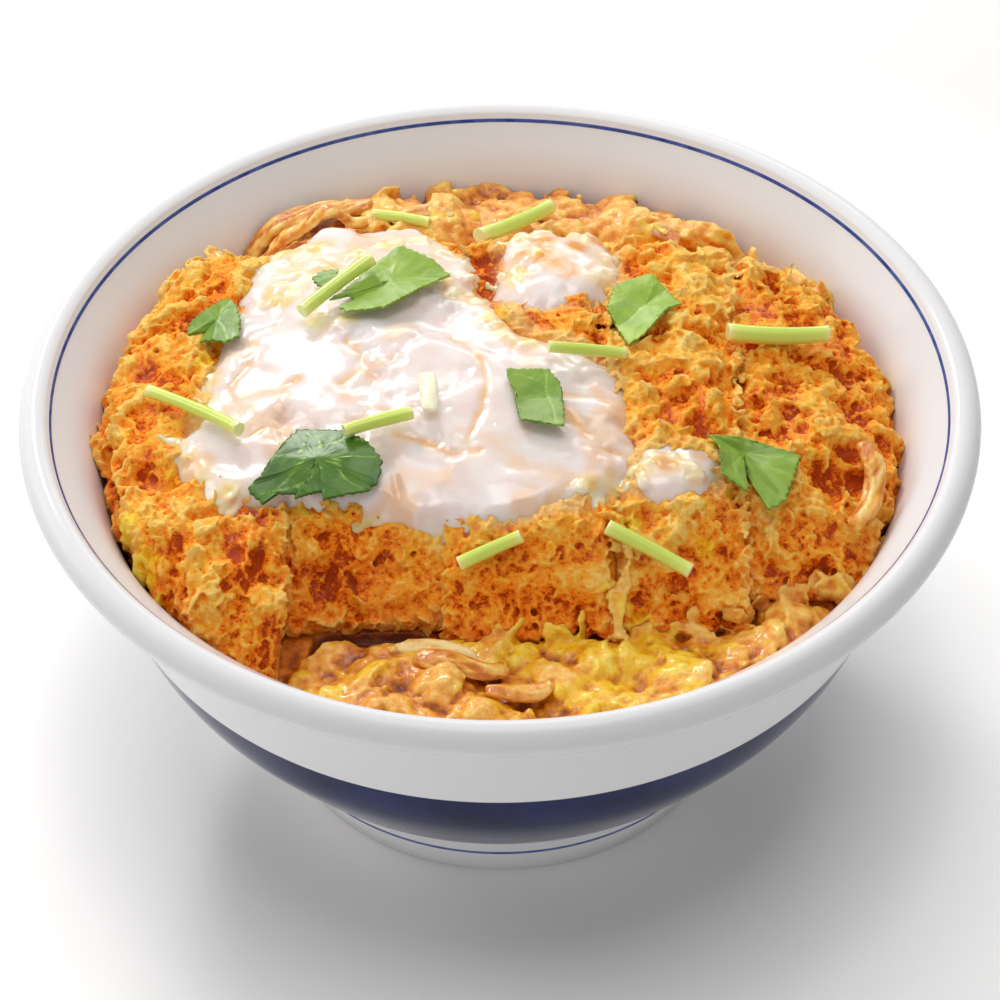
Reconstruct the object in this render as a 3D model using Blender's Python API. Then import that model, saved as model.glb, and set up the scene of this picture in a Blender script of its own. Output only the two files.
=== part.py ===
# Katsudon: a bowl filled with egg and onion, a sliced breaded cutlet, soft egg white and mitsuba on top.
# Metres, +Z up. The origin is at the middle of the foot's underside. X runs to the right, -Y faces the eater.

import math

import bmesh
import bpy
import numpy as np
from mathutils import Vector, noise
from mathutils.bvhtree import BVHTree

MM = 0.001
GAP = 0.3 * MM  # air left between pieces that touch

# The bowl, as (radius, height)
BOWL_STEPS = 44
FOOT_RADIUS = 40.1 * MM
FOOT_RING_WIDTH = 4.2 * MM
FOOT_RECESS = 7.0 * MM
FOOT_SLANT = 2.6 * MM  # how far the ring's inside leans
FOOT_EDGE = 0.5 * MM
FOOT_OUTLINE = [(40.1, 0.5), (43.3, 8.0), (44.8, 12.3)]
BODY_OUTLINE = [(44.8, 12.3), (53.1, 21.0), (64.0, 36.0), (69.3, 48.3), (72.2, 60.0), (74.6, 68.6)]
LIP_CENTRE = (80.6 * MM, 75.2 * MM)
LIP_ROUND = 3.05 * MM
INNER_OUTLINE = [(77.5, 75.9), (73.2, 71.4), (70.7, 67.0), (68.4, 60.0), (65.2, 49.0),
                 (59.4, 36.5), (49.5, 23.8), (36.0, 16.4), (18.0, 13.8), (0.0, 13.4)]

# The food's domed top
DOME_TOP = 82.0 * MM
DOME_FALL = 13.0 * MM  # from the middle to the wall
DOME_REACH = 69.0 * MM
DOME_POWER = 2.6

# The bed of egg and onion under the cutlet
BED_TOP = 60.0 * MM
BED_BOTTOM = 14.6 * MM
BED_HEIGHTS = [16.6, 20.0, 27.0, 37.0, 48.0, 60.0]  # where its side is taken off the bowl's inside
BED_SLACK = 0.5 * MM  # more air under the bowl's round bottom
BED_STEPS = 52
WALL_GAP = 0.5 * MM  # food to porcelain

# The cutlet's slices, side by side: left and right edges, front and back ends
SLICES = [
    {"name": "cutlet_slice_1", "left": None, "right": -37.0, "front": -55.5, "back": 46.0,
     "lift": -0.4, "rim": 4.5, "seed": 3.1},
    {"name": "cutlet_slice_2", "left": -37.0, "right": -9.0, "front": -40.5, "back": 48.5,
     "lift": 0.2, "rim": 1.5, "seed": 11.7},
    {"name": "cutlet_slice_3", "left": -9.0, "right": 19.5, "front": -44.5, "back": 46.5,
     "lift": 0.0, "rim": 1.0, "seed": 23.9},
    {"name": "cutlet_slice_4", "left": 19.5, "right": 41.5, "front": -43.5, "back": 49.0,
     "lift": 0.3, "rim": 1.0, "seed": 37.3},
    {"name": "cutlet_slice_5", "left": 41.5, "right": None, "front": -36.0, "back": 46.0,
     "lift": -0.6, "rim": 1.0, "seed": 51.5},
]
SLICE_BOTTOM = BED_TOP + GAP
SLICE_MEETS_WALL = 67.0 * MM  # height at which a slice comes nearest the porcelain
SLICE_ACROSS = 10
SLICE_ALONG = 34
EDGES_CLOSER = 0.05  # how far the columns draw towards the cuts, as a share of the width
SHOULDER = 6.0 * MM  # how far the top rounds off towards a cut
SHOULDER_DROP = 4.2 * MM
WALL_SHOULDER = 7.0 * MM
WALL_SHOULDER_DROP = 3.6 * MM
RIM_REACH = 65.0 * MM  # where a slice's rim value is added in full
FRONT_SLOPE = 18.0 * MM  # how far the ends slope
BACK_SLOPE = 8.0 * MM
END_FACE = 0.13  # share of the height that an end keeps as a face
END_BEND = 1.7  # how late the slope turns down, and how round it is at the top
END_ROUND = 0.75
UNDERCUT = 2.6 * MM
CRAG_SIZE = 6.0 * MM
CRAG_HEIGHT = 2.6 * MM
CRAG_RIDGES = 0.75  # shares of the ridges and of the finer lumps
CRAG_LUMPS = 0.65
WHITE_REACH = 3.0 * MM  # how far around the egg white the crumb grows rough again

# The two masses of egg and onion that show before and behind the cutlet
FRONT_MASS = {"left": -35.0, "right": 57.0, "height": 63.4, "wall_height": 64.4, "lump": 2.3, "seed": 71.3}
BACK_MASS = {"left": -47.0, "right": 48.5, "height": 72.5, "wall_height": 66.4, "lump": 1.9, "seed": 83.9}
MASS_ACROSS = 30
MASS_DEEP = 6
MASS_CLEAR = 3.5 * MM  # how far a heap keeps to the longer of two slices
MASS_LEAST = 1.8 * MM  # its least depth, where it runs out between slice and wall
MASS_SUNK = 4.0 * MM
MASS_SHRINK = 2.5 * MM  # how far its foot keeps inside the bed's side
MASS_MEETS_WALL = 65.0 * MM
MASS_SET_BACK = 0.6 * MM  # heap to slice
MASS_RUN_OUT = 3.0  # columns over which a heap rises at its ends
LUMP_SIZE = 7.5 * MM

# Soft egg white, as outlines seen from above, in millimetres
FOLD_LONG = 13.0 * MM
FOLD_WIDE = 9.0 * MM
WHITE_MAIN = {
    "name": "egg_white_main", "centre": (-16.0, 5.0), "thick": 1.9, "edge": 0.7, "folds": 0.75,
    "rings": 6, "steps": 44,
    "outline": [(-46.0, 26.0), (-42.0, 37.5), (-34.0, 49.5), (-19.0, 50.0), (-10.0, 40.5), (-3.5, 26.5),
                (1.0, 14.0), (10.5, 8.5), (18.5, 5.0), (22.0, -12.5), (20.5, -23.5), (10.5, -30.5),
                (-4.0, -32.5), (-17.0, -30.5), (-29.0, -28.0), (-40.5, -25.5), (-46.5, -26.5), (-51.5, -19.0),
                (-57.0, -11.5), (-52.5, -8.0), (-51.0, 1.0), (-49.5, 12.5)],
}
WHITE_BACK = {
    "name": "egg_white_back", "centre": (9.5, 34.0), "thick": 2.1, "edge": 0.6, "folds": 0.7,
    "rings": 3, "steps": 22,
    "outline": [(0.5, 21.0), (-0.5, 32.5), (3.0, 44.5), (9.5, 48.5), (17.0, 46.0), (21.5, 28.0), (17.0, 23.0),
                (7.0, 18.0)],
}
WHITE_RIGHT = {
    "name": "egg_white_right", "centre": (30.0, -21.0), "thick": 1.7, "edge": 0.6, "folds": 0.5,
    "rings": 3, "steps": 18,
    "outline": [(23.7, -26.0), (23.0, -20.5), (25.5, -17.0), (31.0, -16.0), (36.5, -16.5), (37.0, -23.5),
                (32.0, -27.0), (27.0, -28.0)],
}

# Onion that shows, as centre lines seen from above, in millimetres
ONION_SECTION = [(-0.5, 0.25), (-0.28, 0.0), (0.28, 0.0), (0.5, 0.25), (0.3, 0.95), (-0.3, 0.95)]
ONION_END = 0.45  # share of the width left at an end
ONION_MOST = 70.0 * MM  # height from which the wall no longer holds it in
ONIONS = [
    {"name": "onion_back_outer", "wide": 5.4, "thick": 2.2,
     "line": [(-51.5, 43.5), (-47.0, 51.0), (-40.0, 56.0), (-31.5, 59.5), (-23.0, 61.0)]},
    {"name": "onion_back_inner", "wide": 3.6, "thick": 1.9,
     "line": [(-43.5, 47.0), (-38.5, 50.5), (-31.0, 53.0), (-24.0, 54.0)]},
    {"name": "onion_front_large", "wide": 5.6, "thick": 2.0,
     "line": [(-14.5, -51.5), (-9.5, -53.5), (-3.5, -54.5), (1.0, -53.0)]},
    {"name": "onion_front_small", "wide": 4.4, "thick": 1.8,
     "line": [(-3.0, -60.0), (3.0, -60.0), (8.5, -58.5)]},
    {"name": "onion_right", "wide": 4.6, "thick": 1.7,
     "line": [(62.5, -9.5), (64.5, -15.5), (63.5, -22.0), (60.0, -27.5)]},
    {"name": "onion_chip", "wide": 4.0, "thick": 1.5,
     "line": [(-12.5, -2.5), (-12.0, -7.5), (-12.0, -12.5)]},
]

# Mitsuba leaves, as outlines seen from above, in millimetres
LEAF_THICK = 0.5 * MM
LEAF_RINGS = 2
LEAF_BEND = 6.0 * MM  # distance from the middle at which a leaf has curled by its curl
LEAF_WAVE = 0.25 * MM
LEAF_WAVE_LENGTH = 3.2 * MM
LEAVES = [
    {"name": "leaf_1", "centre": (-19.0, 22.5), "curl": 0.9, "turn": 0.25,
     "outline": [(-8.5, 24.5), (-12.0, 28.5), (-17.5, 31.5), (-21.5, 27.5), (-26.0, 22.5), (-30.0, 18.0),
                 (-26.5, 19.5), (-25.0, 17.5), (-28.0, 15.5), (-26.5, 14.0), (-20.0, 14.5), (-15.5, 18.0),
                 (-11.0, 22.0)]},
    {"name": "leaf_2", "centre": (-30.5, 25.5), "curl": 0.3, "turn": 0.8,
     "outline": [(-33.0, 26.0), (-31.5, 27.8), (-28.5, 28.0), (-28.5, 25.0), (-31.5, 23.0)]},
    {"name": "leaf_3", "centre": (-49.5, 18.0), "curl": -0.9, "turn": 1.3,
     "outline": [(-55.0, 16.5), (-54.5, 20.0), (-51.5, 23.5), (-48.5, 24.5), (-46.5, 22.0), (-45.5, 18.0),
                 (-45.5, 13.0), (-48.0, 11.5), (-52.5, 13.0), (-51.5, 16.5)]},
    {"name": "leaf_4", "centre": (-31.0, -22.0), "curl": -0.8, "turn": -0.15,
     "outline": [(-43.0, -26.5), (-41.0, -25.0), (-36.0, -15.5), (-34.5, -14.0), (-26.5, -16.0),
                 (-22.5, -19.0), (-20.0, -23.5), (-20.5, -27.5), (-22.5, -29.0), (-30.0, -30.0),
                 (-29.5, -28.0), (-35.0, -29.0), (-34.0, -28.0), (-39.0, -27.5), (-40.0, -29.5)]},
    {"name": "leaf_5", "centre": (6.5, -8.5), "curl": 0.6, "turn": 0.1,
     "outline": [(1.0, -2.0), (8.5, -2.0), (10.5, -5.5), (11.0, -12.5), (11.0, -17.0), (3.5, -14.5),
                 (2.5, -7.0)]},
    {"name": "leaf_6", "centre": (25.5, 18.0), "curl": 0.9, "turn": 0.9,
     "outline": [(20.5, 23.0), (27.0, 26.5), (29.5, 23.0), (32.0, 18.0), (29.5, 16.5), (25.0, 9.0),
                 (22.5, 7.0), (19.0, 18.0)]},
    {"name": "leaf_7", "centre": (41.8, -15.5), "curl": 0.7, "turn": -0.1,
     "outline": [(35.5, -13.5), (42.0, -13.0), (51.5, -16.0), (50.0, -21.5), (48.5, -26.5), (45.5, -28.5),
                 (43.0, -22.5), (41.5, -17.5), (42.0, -27.0), (37.5, -24.5), (37.5, -18.0)]},
]

# Mitsuba stems: both ends seen from above, diameter and sideways bow, in millimetres
STEM_SIDES = 8
STEM_SLOPE = 0.45  # steepest rise for its length
STEM_RINGS = 3
STEM_SAMPLES = 13  # places along a stem where what is under it is felt
STEMS = [
    {"name": "stem_1", "ends": [(-23.0, 56.5), (-12.5, 54.0)], "wide": 2.1, "bow": 0.2},
    {"name": "stem_2", "ends": [(-3.5, 42.0), (9.5, 56.0)], "wide": 2.8, "bow": -0.5},
    {"name": "stem_3", "ends": [(-34.5, 14.5), (-22.5, 25.5)], "wide": 2.5, "bow": 0.2},
    {"name": "stem_4", "ends": [(-61.0, 1.5), (-44.5, -14.0)], "wide": 2.3, "bow": 0.5},
    {"name": "stem_5", "ends": [(-26.5, -18.0), (-15.0, -13.5)], "wide": 2.3, "bow": 0.2},
    {"name": "stem_6", "ends": [(8.5, 2.5), (22.0, 4.5)], "wide": 2.1, "bow": 0.1},
    {"name": "stem_7", "ends": [(40.0, 13.5), (58.0, 15.5)], "wide": 3.1, "bow": -0.9},
    {"name": "stem_8", "ends": [(-7.0, -39.0), (3.5, -36.5)], "wide": 2.5, "bow": 0.1},
    {"name": "stem_9", "ends": [(18.0, -34.0), (32.0, -40.0)], "wide": 2.6, "bow": 0.2},
]

# Laying a piece on what is under it
PATCH_FEEL = 1.8 * MM  # how far around a point the highest top counts
FACE_FEEL = 0.35 * MM
ONION_FEEL = 0.8 * MM
ABOVE_ALL = 200.0 * MM

# Colours, linear RGB
PORCELAIN = (0.83, 0.82, 0.84)
EGG = (0.80, 0.45, 0.09)
CRUST = (0.62, 0.22, 0.03)
EGG_WHITE = (0.88, 0.78, 0.72)
ONION = (0.80, 0.58, 0.25)
LEAF = (0.07, 0.22, 0.05)
STEM = (0.48, 0.66, 0.20)


def clear_scene():
    for thing in list(bpy.data.objects):
        bpy.data.objects.remove(thing, do_unlink=True)


def material(name, colour, roughness):
    made = bpy.data.materials.new(name)
    made.use_nodes = True
    shader = made.node_tree.nodes["Principled BSDF"]
    shader.inputs["Base Color"].default_value = (*colour, 1.0)
    shader.inputs["Roughness"].default_value = roughness
    shader.inputs["Metallic"].default_value = 0.0
    return made


def add_object(name, mesh_points, faces, look, smooth=True):
    mesh = bpy.data.meshes.new(name)
    mesh.from_pydata([tuple(p) for p in mesh_points], [], faces)
    mesh.update()
    thing = bpy.data.objects.new(name, mesh)
    bpy.context.scene.collection.objects.link(thing)
    mesh.materials.append(look)
    if smooth:
        mesh.shade_smooth()
        mesh.set_sharp_from_angle(angle=math.radians(50))
    return thing


def between(a, b, c, d, t):
    """The point at t from b to c on the Catmull-Rom curve through a, b, c and d."""
    square, cube = t * t, t * t * t
    return 0.5 * (2 * b + (c - a) * t + (2 * a - 5 * b + 4 * c - d) * square + (3 * b - a - 3 * c + d) * cube)


def curve_through(points, parts):
    """Catmull-Rom curve through the points, with that many parts to each stretch."""
    points = [np.array(p, float) for p in points]
    ends = [2 * points[0] - points[1]] + points + [2 * points[-1] - points[-2]]
    out = []
    for a, b, c, d in zip(ends, ends[1:], ends[2:], ends[3:]):
        out += [between(a, b, c, d, k / parts) for k in range(parts)]
    out.append(points[-1])
    return out


def closed_curve(points, parts):
    count = len(points)
    ring = [np.array(p, float) for p in points]
    out = []
    for i in range(count):
        a, b, c, d = (ring[(i + k) % count] for k in (-1, 0, 1, 2))
        out += [between(a, b, c, d, k / parts) for k in range(parts)]
    return out


def smoothstep(low, high, value):
    t = min(1.0, max(0.0, (value - low) / (high - low)))
    return t * t * (3 - 2 * t)


# Bowl

def inner_radius(height):
    """The bowl's inside radius at that height."""
    upwards = np.array(INNER_OUTLINE[::-1]) * MM
    return float(np.interp(height, upwards[:, 1], upwards[:, 0]))


def bowl_profile():
    ring_inside = FOOT_RADIUS - FOOT_RING_WIDTH
    points = [(0.0, FOOT_RECESS), (ring_inside - FOOT_SLANT, FOOT_RECESS)]
    points += [(ring_inside - FOOT_EDGE, FOOT_EDGE), (ring_inside + FOOT_EDGE, 0.0)]
    points.append((FOOT_RADIUS - FOOT_EDGE, 0.0))
    points += [(r * MM, z * MM) for r, z in FOOT_OUTLINE]
    points += [tuple(p * MM) for p in curve_through(BODY_OUTLINE, 2)[1:]]
    for degrees in (-100, -60, -25, 5, 35, 65, 95, 125):
        angle = math.radians(degrees)
        across, rise = LIP_ROUND * math.cos(angle), LIP_ROUND * math.sin(angle)
        points.append((LIP_CENTRE[0] + across, LIP_CENTRE[1] + rise))
    points += [(r * MM, z * MM) for r, z in INNER_OUTLINE]
    return points


def turned(name, profile, steps, look):
    """A closed solid turned about Z. The profile runs from the axis below, round outside, to the axis on top."""
    rows, points = [], []
    for radius, height in profile:
        if radius < 1e-9:
            rows.append([len(points)])
            points.append((0.0, 0.0, height))
            continue
        rows.append(list(range(len(points), len(points) + steps)))
        for k in range(steps):
            angle = 2 * math.pi * k / steps
            points.append((radius * math.cos(angle), radius * math.sin(angle), height))
    faces = []
    for low, high in zip(rows, rows[1:]):
        for k in range(steps):
            after = (k + 1) % steps
            if len(low) == 1:
                faces.append((low[0], high[after], high[k]))
            elif len(high) == 1:
                faces.append((low[k], low[after], high[0]))
            else:
                faces.append((low[k], low[after], high[after], high[k]))
    return add_object(name, points, faces, look)


# Food heights

def dome(x, y):
    return DOME_TOP - DOME_FALL * (math.hypot(x, y) / DOME_REACH) ** DOME_POWER


def inside(outline, x, y, grow):
    """1 inside the closed outline, falling to 0 over grow outside it."""
    hit = False
    nearest = 1e9
    for (ax, ay), (bx, by) in zip(outline, outline[1:] + outline[:1]):
        ax, ay, bx, by = ax * MM, ay * MM, bx * MM, by * MM
        if (ay > y) != (by > y) and x < (bx - ax) * (y - ay) / (by - ay) + ax:
            hit = not hit
        t = ((x - ax) * (bx - ax) + (y - ay) * (by - ay)) / ((bx - ax) ** 2 + (by - ay) ** 2)
        t = min(1.0, max(0.0, t))
        nearest = min(nearest, math.hypot(x - ax - t * (bx - ax), y - ay - t * (by - ay)))
    return 1.0 if hit else 1.0 - smoothstep(0.0, grow, nearest)


def crag(x, y, seed):
    """Ridges and pits of the soaked crumb, from about -1 to 1."""
    where = Vector((x / CRAG_SIZE, y / CRAG_SIZE, seed))
    ridge = 1.0 - 2.2 * abs(noise.noise(where * 0.9))
    lump = noise.noise(where * 2.1 + Vector((9.0, 4.0, 0.0)))
    return CRAG_RIDGES * ridge - 0.2 + CRAG_LUMPS * lump


def under_white(x, y):
    return max(inside(w["outline"], x, y, WHITE_REACH) for w in (WHITE_MAIN, WHITE_BACK, WHITE_RIGHT))


def slice_height(part, x, y, left, right, at_wall):
    """The slice's top at a point, in its own outline."""
    rim = part["rim"] * MM
    height = dome(x, y) + part["lift"] * MM + rim * (math.hypot(x, y) / RIM_REACH) ** 4
    for edge, far in ((x - left, at_wall[0]), (right - x, at_wall[1])):
        reach = WALL_SHOULDER if far else SHOULDER
        drop = WALL_SHOULDER_DROP + rim if far else SHOULDER_DROP
        if edge < reach:
            height -= drop * (1 - math.sqrt(max(0.0, 1 - (1 - edge / reach) ** 2)))
    end = min((y - part["front"] * MM) / FRONT_SLOPE, (part["back"] * MM - y) / BACK_SLOPE)
    slope = 1 - min(1.0, max(0.0, end))
    share = END_FACE + (1 - END_FACE) * (1 - slope**END_BEND) ** END_ROUND
    bare = 1 - under_white(x, y)
    rough = crag(x, y, part["seed"]) * CRAG_HEIGHT * bare * (0.5 + 0.5 * share)
    return SLICE_BOTTOM + (height - SLICE_BOTTOM) * share + rough


def within_wall(x, y, z):
    """The point, pulled in where it would reach the porcelain."""
    most = inner_radius(z) - WALL_GAP
    radius = math.hypot(x, y)
    if radius > most:
        x, y = x * most / radius, y * most / radius
    return x, y


def make_slice(part, look):
    """A slice on a grid: its craggy top, its sides, and a flat underside a little inside its ends."""
    wall = inner_radius(SLICE_MEETS_WALL) - WALL_GAP
    points, top = [], []
    front, back = part["front"] * MM, part["back"] * MM
    for j in range(SLICE_ALONG + 1):
        y = front + (back - front) * j / SLICE_ALONG
        chord = math.sqrt(wall**2 - y**2)
        at_wall = (part["left"] is None, part["right"] is None)
        left = -chord if at_wall[0] else part["left"] * MM + GAP / 2
        right = chord if at_wall[1] else part["right"] * MM - GAP / 2
        row = []
        for i in range(SLICE_ACROSS + 1):
            s = i / SLICE_ACROSS
            x = left + (right - left) * (s - EDGES_CLOSER * math.sin(2 * math.pi * s))
            z = slice_height(part, x, y, left, right, at_wall)
            at_cut = (i == 0 and not at_wall[0]) or (i == SLICE_ACROSS and not at_wall[1])
            px, py = (x, y) if at_cut else within_wall(x, y, min(z, SLICE_MEETS_WALL))
            row.append(len(points))
            points.append((px, py, z))
        top.append(row)
    faces = []
    for low, high in zip(top, top[1:]):
        for i in range(SLICE_ACROSS):
            faces.append((low[i], low[i + 1], high[i + 1], high[i]))
    rim = top[0] + [row[-1] for row in top[1:]] + top[-1][-2::-1] + [row[0] for row in top[-2:0:-1]]
    under = []
    for index in rim:
        x, y, _ = points[index]
        y = min(max(y, front + UNDERCUT), back - UNDERCUT)
        x, y = within_wall(x, y, SLICE_BOTTOM)
        under.append(len(points))
        points.append((x, y, SLICE_BOTTOM))
    faces += skirt(rim, under)
    faces.append(tuple(reversed(no_repeats(under, points))))
    return add_object(part["name"], *merged(points, faces), look)


def skirt(upper, lower):
    """Side faces between two rings that run the same way, the upper one's inside on the left."""
    faces = []
    count = len(upper)
    for k in range(count):
        after = (k + 1) % count
        faces.append((upper[k], lower[k], lower[after], upper[after]))
    return faces


def no_repeats(ring, points):
    out = []
    for index in ring:
        if not out or math.dist(points[index], points[out[-1]]) > 1e-7:
            out.append(index)
    if math.dist(points[out[0]], points[out[-1]]) <= 1e-7:
        out.pop()
    return out


def merged(points, faces):
    """The points without doubles, and the faces without those that fall together."""
    key, keep, index = {}, [], []
    for point in points:
        place = tuple(round(c * 1e7) for c in point)
        if place not in key:
            key[place] = len(keep)
            keep.append(point)
        index.append(key[place])
    out = []
    for face in faces:
        ring = [index[i] for i in face]
        ring = [v for k, v in enumerate(ring) if v != ring[k - 1]]
        if len(set(ring)) >= 3:
            out.append(tuple(ring))
    return keep, out


# Egg and onion

def mass_end(x, front):
    """Where the slices end at that x, towards the front or the back."""
    ends = []
    for part in SLICES:
        left = -80.0 if part["left"] is None else part["left"]
        right = 80.0 if part["right"] is None else part["right"]
        if left * MM - MASS_CLEAR <= x <= right * MM + MASS_CLEAR:
            ends.append(part["front"] if front else part["back"])
    return (min(ends) if front else max(ends)) * MM


def lumps(x, y, seed):
    where = Vector((x / LUMP_SIZE, y / LUMP_SIZE, seed))
    return 1.3 * noise.noise(where) + 0.8 * noise.noise(where * 2.0 + Vector((5.0, 2.0, 0.0)))


def make_mass(name, mass, front, look):
    """A heap along the wall, on a grid from the slices' ends to the porcelain, sunk into the bed."""
    points, top = [], []
    wall = inner_radius(MASS_MEETS_WALL) - WALL_GAP
    low_z = BED_TOP - MASS_SUNK
    side = -1 if front else 1
    for i in range(MASS_ACROSS + 1):
        x = (mass["left"] + (mass["right"] - mass["left"]) * i / MASS_ACROSS) * MM
        near = mass_end(x, front) + side * MASS_SET_BACK
        far = side * math.sqrt(wall**2 - x**2)
        if side * (far - near) < MASS_LEAST:
            near = far - side * MASS_LEAST
        row = []
        for j in range(MASS_DEEP + 1):
            t = j / MASS_DEEP
            y = near + (far - near) * t
            height = (mass["height"] + (mass["wall_height"] - mass["height"]) * t) * MM
            height += mass["lump"] * MM * lumps(x, y, mass["seed"])
            rise = smoothstep(-0.25, 0.3, t)
            ends = smoothstep(-0.6, MASS_RUN_OUT, min(i, MASS_ACROSS - i))
            z = BED_TOP + max(GAP, (height - BED_TOP) * rise * ends)
            px, py = within_wall(x, y, z)
            row.append(len(points))
            points.append((px, py, z))
        top.append(row)
    faces = []
    for low, high in zip(top, top[1:]):
        for j in range(MASS_DEEP):
            face = (low[j], high[j], high[j + 1], low[j + 1])
            faces.append(face[::-1] if front else face)
    rim = [row[0] for row in top] + top[-1][1:] + [row[-1] for row in top[-2::-1]] + top[0][-2:0:-1]
    if front:
        rim = rim[::-1]
    under = []
    for index in rim:
        x, y, _ = points[index]
        radius = math.hypot(x, y)
        shrink = 1 - MASS_SHRINK * smoothstep(wall - 2 * MASS_SHRINK, wall, radius) / radius
        under.append(len(points))
        points.append((x * shrink, y * shrink, low_z))
    faces += skirt(rim, under)
    faces.append(tuple(reversed(no_repeats(under, points))))
    return add_object(name, *merged(points, faces), look)


def make_bed(look):
    """The bed fills the bowl to under the cutlet, with a heap before it and one behind it fused on."""
    profile = [(0.0, BED_BOTTOM)]
    profile += [(inner_radius(z * MM) - WALL_GAP - BED_SLACK * (z < 30), z * MM) for z in BED_HEIGHTS]
    profile.append((0.0, BED_TOP))
    bed = turned("egg_onion_bed", profile, BED_STEPS, look)
    heaps = bpy.data.collections.new("egg_heaps")
    bpy.context.scene.collection.children.link(heaps)
    for name, mass, front in (("heap_front", FRONT_MASS, True), ("heap_back", BACK_MASS, False)):
        heap = make_mass(name, mass, front, look)
        bpy.context.scene.collection.objects.unlink(heap)
        heaps.objects.link(heap)
    join = bed.modifiers.new("fuse heaps", "BOOLEAN")
    join.operation = "UNION"
    join.operand_type = "COLLECTION"
    join.collection = heaps
    join.solver = "EXACT"
    apply_modifiers(bed)
    for heap in list(heaps.objects):
        bpy.data.objects.remove(heap, do_unlink=True)
    bpy.data.collections.remove(heaps)
    return bed


def apply_modifiers(thing):
    bpy.context.view_layer.update()
    graph = bpy.context.evaluated_depsgraph_get()
    mesh = bpy.data.meshes.new_from_object(thing.evaluated_get(graph))
    thing.modifiers.clear()
    thing.data = mesh


# Laying pieces on what is there

class Support:
    """The tops of the pieces made so far."""

    def __init__(self, things):
        self.trees = []
        for thing in things:
            self.add(thing)

    def add(self, thing):
        points = [v.co.copy() for v in thing.data.vertices]
        self.trees.append(BVHTree.FromPolygons(points, [tuple(p.vertices) for p in thing.data.polygons]))

    def height(self, x, y, around=0.0):
        """The highest top at a point, or within a distance of it."""
        best = BED_TOP
        spots = [(x, y)]
        if around:
            turns = [k * math.pi / 4 for k in range(8)]
            spots += [(x + around * math.cos(t), y + around * math.sin(t)) for t in turns]
        for sx, sy in spots:
            for tree in self.trees:
                hit = tree.ray_cast(Vector((sx, sy, ABOVE_ALL)), Vector((0, 0, -1)))[0]
                if hit is not None:
                    best = max(best, hit.z)
        return best


def clearance(points, faces, support):
    """How far the faces' underside stands above what is under it, at its nearest."""
    least = 1.0
    weights = [(1, 0, 0), (0.5, 0.5, 0), (0, 0.5, 0.5), (0.5, 0, 0.5), (0.34, 0.33, 0.33)]
    for face in faces:
        corners = [np.array(points[i]) for i in face]
        for k in range(1, len(corners) - 1):
            for w in weights:
                p = w[0] * corners[0] + w[1] * corners[k] + w[2] * corners[k + 1]
                least = min(least, p[2] - support.height(p[0], p[1], FACE_FEEL))
    return least


def patch(part, support, look, size, shape, smooth_line, grid):
    """A thin solid over a star-shaped outline, both faces split alike and lifted by shape(x, y, share)."""
    thick, edge = size
    rings, steps = grid
    centre = np.array(part["centre"]) * MM
    if smooth_line:
        line = closed_curve(part["outline"], 4)
    else:
        line = []
        for a, b in zip(part["outline"], part["outline"][1:] + part["outline"][:1]):
            line += [np.array(a) * (1 - k / 2) + np.array(b) * k / 2 for k in range(2)]
    line = [np.array(p) * MM for p in line]
    if steps:
        parts = [np.linalg.norm(b - a) for a, b in zip(line, line[1:] + line[:1])]
        lengths = np.cumsum([0] + parts)
        ring = np.array(line + line[:1])
        at = np.linspace(0, lengths[-1], steps, endpoint=False)
        line = [np.array([np.interp(s, lengths, ring[:, axis]) for axis in (0, 1)]) for s in at]
    if turn_of(line) < 0:
        line.reverse()
    count = len(line)
    plan = [(centre, 0.0)]
    for k in range(1, rings + 1):
        share = (k / rings) ** 0.85
        plan += [(centre + (p - centre) * share, share) for p in line]
    heights = [support.height(p[0], p[1], PATCH_FEEL) for p, _ in plan]
    heights = relaxed(heights, count, rings, 2)
    lower = [(p[0], p[1], h + GAP + shape(p[0], p[1], share)) for (p, share), h in zip(plan, heights)]
    faces = [(0, 1 + (k + 1) % count, 1 + k) for k in range(count)]
    for k in range(rings - 1):
        for n in range(count):
            a, b = 1 + k * count + n, 1 + k * count + (n + 1) % count
            faces.append((a, b, b + count))
            faces.append((a, b + count, a + count))
    least = clearance(lower, faces, support)
    lift = max(0.0, GAP - least)
    lower = [(x, y, z + lift) for x, y, z in lower]
    upper = []
    for (x, y, z), (_, share) in zip(lower, plan):
        upper.append((x, y, z + (thick - (thick - edge) * share**3) * MM))
    size = len(lower)
    points = lower + upper
    up = [tuple(size + i for i in reversed(f)) for f in faces]
    last = 1 + (rings - 1) * count
    sides = []
    for n in range(count):
        a, b = last + n, last + (n + 1) % count
        sides.append((a, b, b + size))
        sides.append((a, b + size, a + size))
    return add_object(part["name"], points, faces + up + sides, look)


def turn_of(line):
    """Above 0 where the closed line runs anticlockwise."""
    return sum(a[0] * b[1] - a[1] * b[0] for a, b in zip(line, line[1:] + line[:1]))


def relaxed(heights, count, rings, times):
    """Heights of a ringed plan with dips filled by their neighbours' mean."""
    heights = list(heights)
    for _ in range(times):
        new = list(heights)
        new[0] = max(heights[0], float(np.mean(heights[1:1 + count])))
        for k in range(rings):
            for n in range(count):
                i = 1 + k * count + n
                near = [heights[1 + k * count + (n - 1) % count], heights[1 + k * count + (n + 1) % count]]
                near.append(heights[i - count] if k else heights[0])
                if k < rings - 1:
                    near.append(heights[i + count])
                new[i] = max(heights[i], float(np.mean(near)))
        heights = new
    return heights


def make_white(part, support, look):
    def folds(x, y, share):
        where = Vector((x / FOLD_LONG, y / FOLD_WIDE, 5.0 + len(part["outline"])))
        return part["folds"] * MM * (0.5 + noise.noise(where)) * (1 - share**4)

    size = (part["thick"], part["edge"])
    return patch(part, support, look, size, folds, True, (part["rings"], part["steps"]))


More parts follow.
